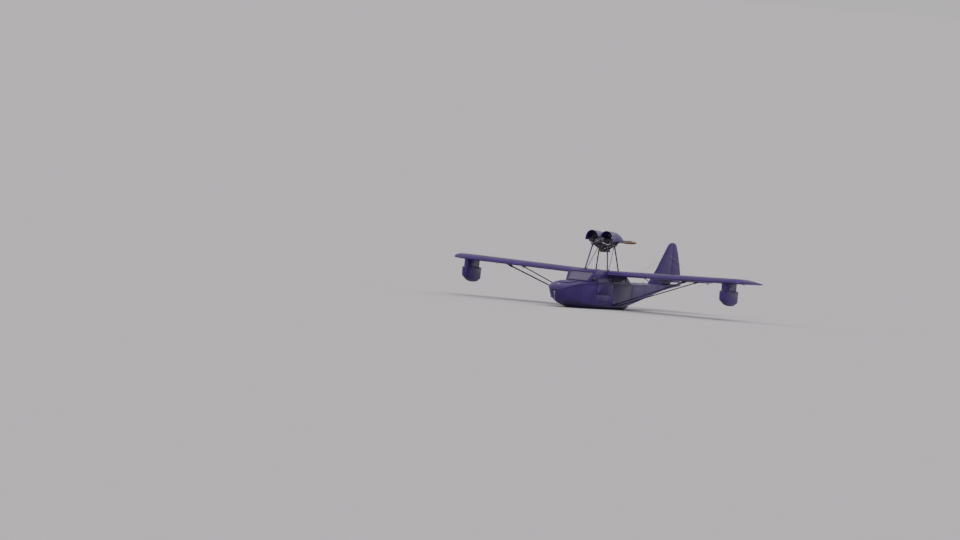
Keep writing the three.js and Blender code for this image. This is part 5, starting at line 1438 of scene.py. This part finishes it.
def edge_line(piece, half):
    """Points round the upper edge of a pad, on its surface, in its own frame."""
    points = []
    corners = [(-1, -1), (1, -1), (1, 1), (-1, 1)]
    for a, b in zip(corners, corners[1:] + corners[:1]):
        count = max(6, int((half.x if a[1] == b[1] else half.y) * 2 / 0.02))
        for x, y in (Vector(a).lerp(Vector(b), i / count) for i in range(count)):
            # A rounded rectangle a little outside the pad
            shrink = 1 - 0.012 * (abs(x) ** 12 + abs(y) ** 12 - 1)
            outside = vec(x * (half.x + 0.01) * shrink, y * (half.y + 0.01) * shrink, half.z + 0.006)
            _, place, normal, _ = piece.closest_point_on_mesh(outside)
            points.append(place + normal * 0.0008)
    return points + points[:2]


def seat_pad(name, node, half, inset_z, bulge, matrix):
    """Swells a pad, sews its piping on, sets it in place and lets it stand for the part's node."""
    piece = swollen_pad(name, half, inset_z, bulge)
    piping = Shape(name + "_piping", WEBBING, smooth=True)
    piping.pipe([matrix @ point for point in edge_line(piece, half)], 0.0034)
    piece.data.transform(matrix)
    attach(piece, "airframe")
    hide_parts(node)
    return piece


cushion_matrix = Matrix.Translation(CUSHION_MIDDLE)
cushion = seat_pad("bench_cushion", "seat_cushion", CUSHION_HALF, 0.012, 0.008, cushion_matrix)
back_up = vec(0, math.sin(BACK_LEAN), math.cos(BACK_LEAN))
back_turn = Matrix((LEFT, back_up, LEFT.cross(back_up))).transposed().to_4x4()
seat_pad("bench_back", "seat_back", BACK_HALF, 0.01, 0.006, Matrix.Translation(BACK_MIDDLE) @ back_turn)

BELT_THICK = 0.0022
belts, buckles = Shape("lap_belt", WEBBING), Shape("belt_buckle", BRIGHT)
for seat_x in (-0.205, 0.205):
    for side in (-1, 1):
        points = [vec(seat_x + side * 0.155, -0.428, 0.17)]
        for t in (i / 12 for i in range(13)):
            x, y = seat_x + side * (0.15 - 0.128 * t), -0.462 - 0.2 * t
            found, place, _, _ = cushion.ray_cast((x, y, 0.4), (0, 0, -1))
            points.append(place + UP * BELT_THICK if found else vec(x, y, 0.212))
        normals = [vec(0, -0.4, 0.9)] + [UP] * 13
        belts.ribbon(points, vec(0.843, -side * 0.538, 0), 0.042, normals, BELT_THICK)
    buckle_at = vec(seat_x, points[-1].y, points[-1].z)
    buckles.box_at(buckle_at, (-0.032, -0.024, -0.001), (0.032, 0.024, 0.009))
    buckles.box_at(buckle_at, (-0.02, -0.016, 0.009), (0.02, 0.016, 0.013))

# Side floats: distance aft, keel height, chine half breadth and height, deck half breadth and height
FLOAT_X, FLOAT_KEEL = 4.72, 0.462
FLOAT_ROWS = [
    (-0.8, 0.25, 0.03, 0.275, 0.04, 0.44), (-0.77, 0.165, 0.066, 0.215, 0.076, 0.452),
    (-0.69, 0.095, 0.096, 0.16, 0.104, 0.46), (-0.56, 0.038, 0.112, 0.112, 0.118, 0.464),
    (-0.36, 0.002, 0.118, 0.078, 0.122, 0.466), (-0.15, 0.0, 0.114, 0.072, 0.118, 0.464),
    (0.02, 0.022, 0.098, 0.092, 0.104, 0.456), (0.07, 0.05, 0.084, 0.112, 0.09, 0.446),
]
FLOAT_YS = [-0.79, -0.76, -0.7, -0.62, -0.54, -0.45, -0.36, -0.25, -0.15, -0.05, 0.02, 0.065]


def float_place(y, height, breadth=None, side=1):
    """A point of the left float; height and breadth are columns of the rows."""
    across = between(FLOAT_ROWS, y, breadth) if breadth else 0
    return vec(FLOAT_X + side * across, y, FLOAT_KEEL + between(FLOAT_ROWS, y, height))


keel_strip = Shape("float_keel_strip", STEEL, BOTH)
keel_strip.ribbon([float_place(y, 1) for y in FLOAT_YS], LEFT, 0.022, vec(0, -0.2, -1), 0.009)
float_beads = Shape("float_bead", HULL_PAINT, BOTH)
float_screws = Shape("float_screw", BRIGHT, BOTH)
for side in (-1, 1):
    float_beads.pipe([float_place(y, 3, 2, side) for y in FLOAT_YS], 0.0045)
    edge = [float_place(y, 5, 4, side) - UP * 0.045 for y in FLOAT_YS]
    normals = [(after - before).cross(UP) * side for before, after in neighbours(edge)]
    float_beads.ribbon(edge, UP, 0.026, normals, 0.005)
    for place in (float_place(-0.72 + 0.075 * i, 5, 4, side) for i in range(11)):
        float_screws.screw(place + vec(side * 0.005, 0, -0.045), LEFT * side, 0.0035, 0.002)
        float_screws.screw(place - vec(side * 0.017, 0, 0.001), UP, 0.0035, 0.0018)
# Deck cap, drain plug and mooring ring
fittings = Shape("float_fitting", BRIGHT, BOTH)
fittings.lathe(float_place(-0.745, 5) + vec(0, 0.01, -0.0095), UP, [
    (0.006, 0.03), (0.011, 0.03), (0.0125, 0.026), (0.0125, 0.012), (0.017, 0.011),
], 20)
plug_at = vec(FLOAT_X + 0.03, 0.068, FLOAT_KEEL + 0.13)
fittings.bolt(plug_at, (0, 1, 0.1), [(0.013, 0.006), (0.008, 0.006)], 12, -0.002)
ring_z = FLOAT_KEEL + 0.39
fittings.rod((FLOAT_X, -0.795, ring_z), (FLOAT_X, -0.82, ring_z), 0.005, 8)
fittings.pipe(arc(0.014, 0, 360, 12, vec(FLOAT_X, -0.832, ring_z), AFT), 0.003, 6)

# Float pylon: beads round its foot and head, angle plates with bolts
pylon_node = cad_nodes["float_pylon_left"]
pylon_points = [pylon_node.matrix_world @ vertex.co for vertex in pylon_node.data.vertices]


def plan_turn(a, b, c):
    """Above zero where the way from a by b to c turns left in plan."""
    return (b.x - a.x) * (c.y - a.y) - (b.y - a.y) * (c.x - a.x)


def outer_ring(points):
    """The outer ones of points in plan, in order round them."""
    points = sorted(points, key=lambda p: (p.x, p.y))
    ring = []
    for line in (points, points[::-1]):
        kept = []
        for p in line:
            while len(kept) > 1 and plan_turn(kept[-2], kept[-1], p) <= 0:
                kept.pop()
            kept.append(p)
        ring += kept[:-1]
    return ring


foot_ring = outer_ring([p for p in pylon_points if p.z < 0.99])
head_ring = outer_ring([p for p in pylon_points if p.z > 1.1])
pylon_beads = Shape("float_pylon_bead", HULL_PAINT, BOTH, smooth=True)
for ring in (foot_ring, head_ring):
    pylon_beads.pipe(ring + ring[:1], 0.006)
angle_plates = Shape("float_pylon_plate", STEEL, BOTH)
plate_bolts = Shape("float_pylon_bolt", BRIGHT, BOTH)
for side, y in product((-1, 1), (-0.5, -0.1)):
    a, b = sorted((p for p in foot_ring if (p.x - FLOAT_X) * side > 0), key=lambda p: abs(p.y - y))[:2]
    x = a.x + (b.x - a.x) * (y - a.y) / (b.y - a.y) if abs(b.y - a.y) > 1e-4 else a.x
    angle_plates.box((x - side * 0.002, y - 0.05, 0.955), (x + side * 0.006, y + 0.05, 1.03))
    for off, z in product((-0.032, 0.032), (0.975, 1.01)):
        plate_bolts.bolt((x + side * 0.006, y + off, z), LEFT * side, [(0.007, 0.004), (0.004, 0.003)])

# The pieces that are not made yet
for shape in list(Shape.waiting):
    shape.put()

# Floor at the waterline
bpy.ops.mesh.primitive_plane_add(size=FLOOR_SIZE, location=(0, 0, WATERLINE))
floor = bpy.context.object
floor.name = "floor"
look = Finish("floor_look")
grain = look.ramp(look.noise(0.4), (0.3, shade(FLOOR_COLOUR, 0.99)), (0.7, shade(FLOOR_COLOUR, 1.01)))
floor.data.materials.append(look.done({"Base Color": grain, "Roughness": 1, "Specular IOR Level": 0}))
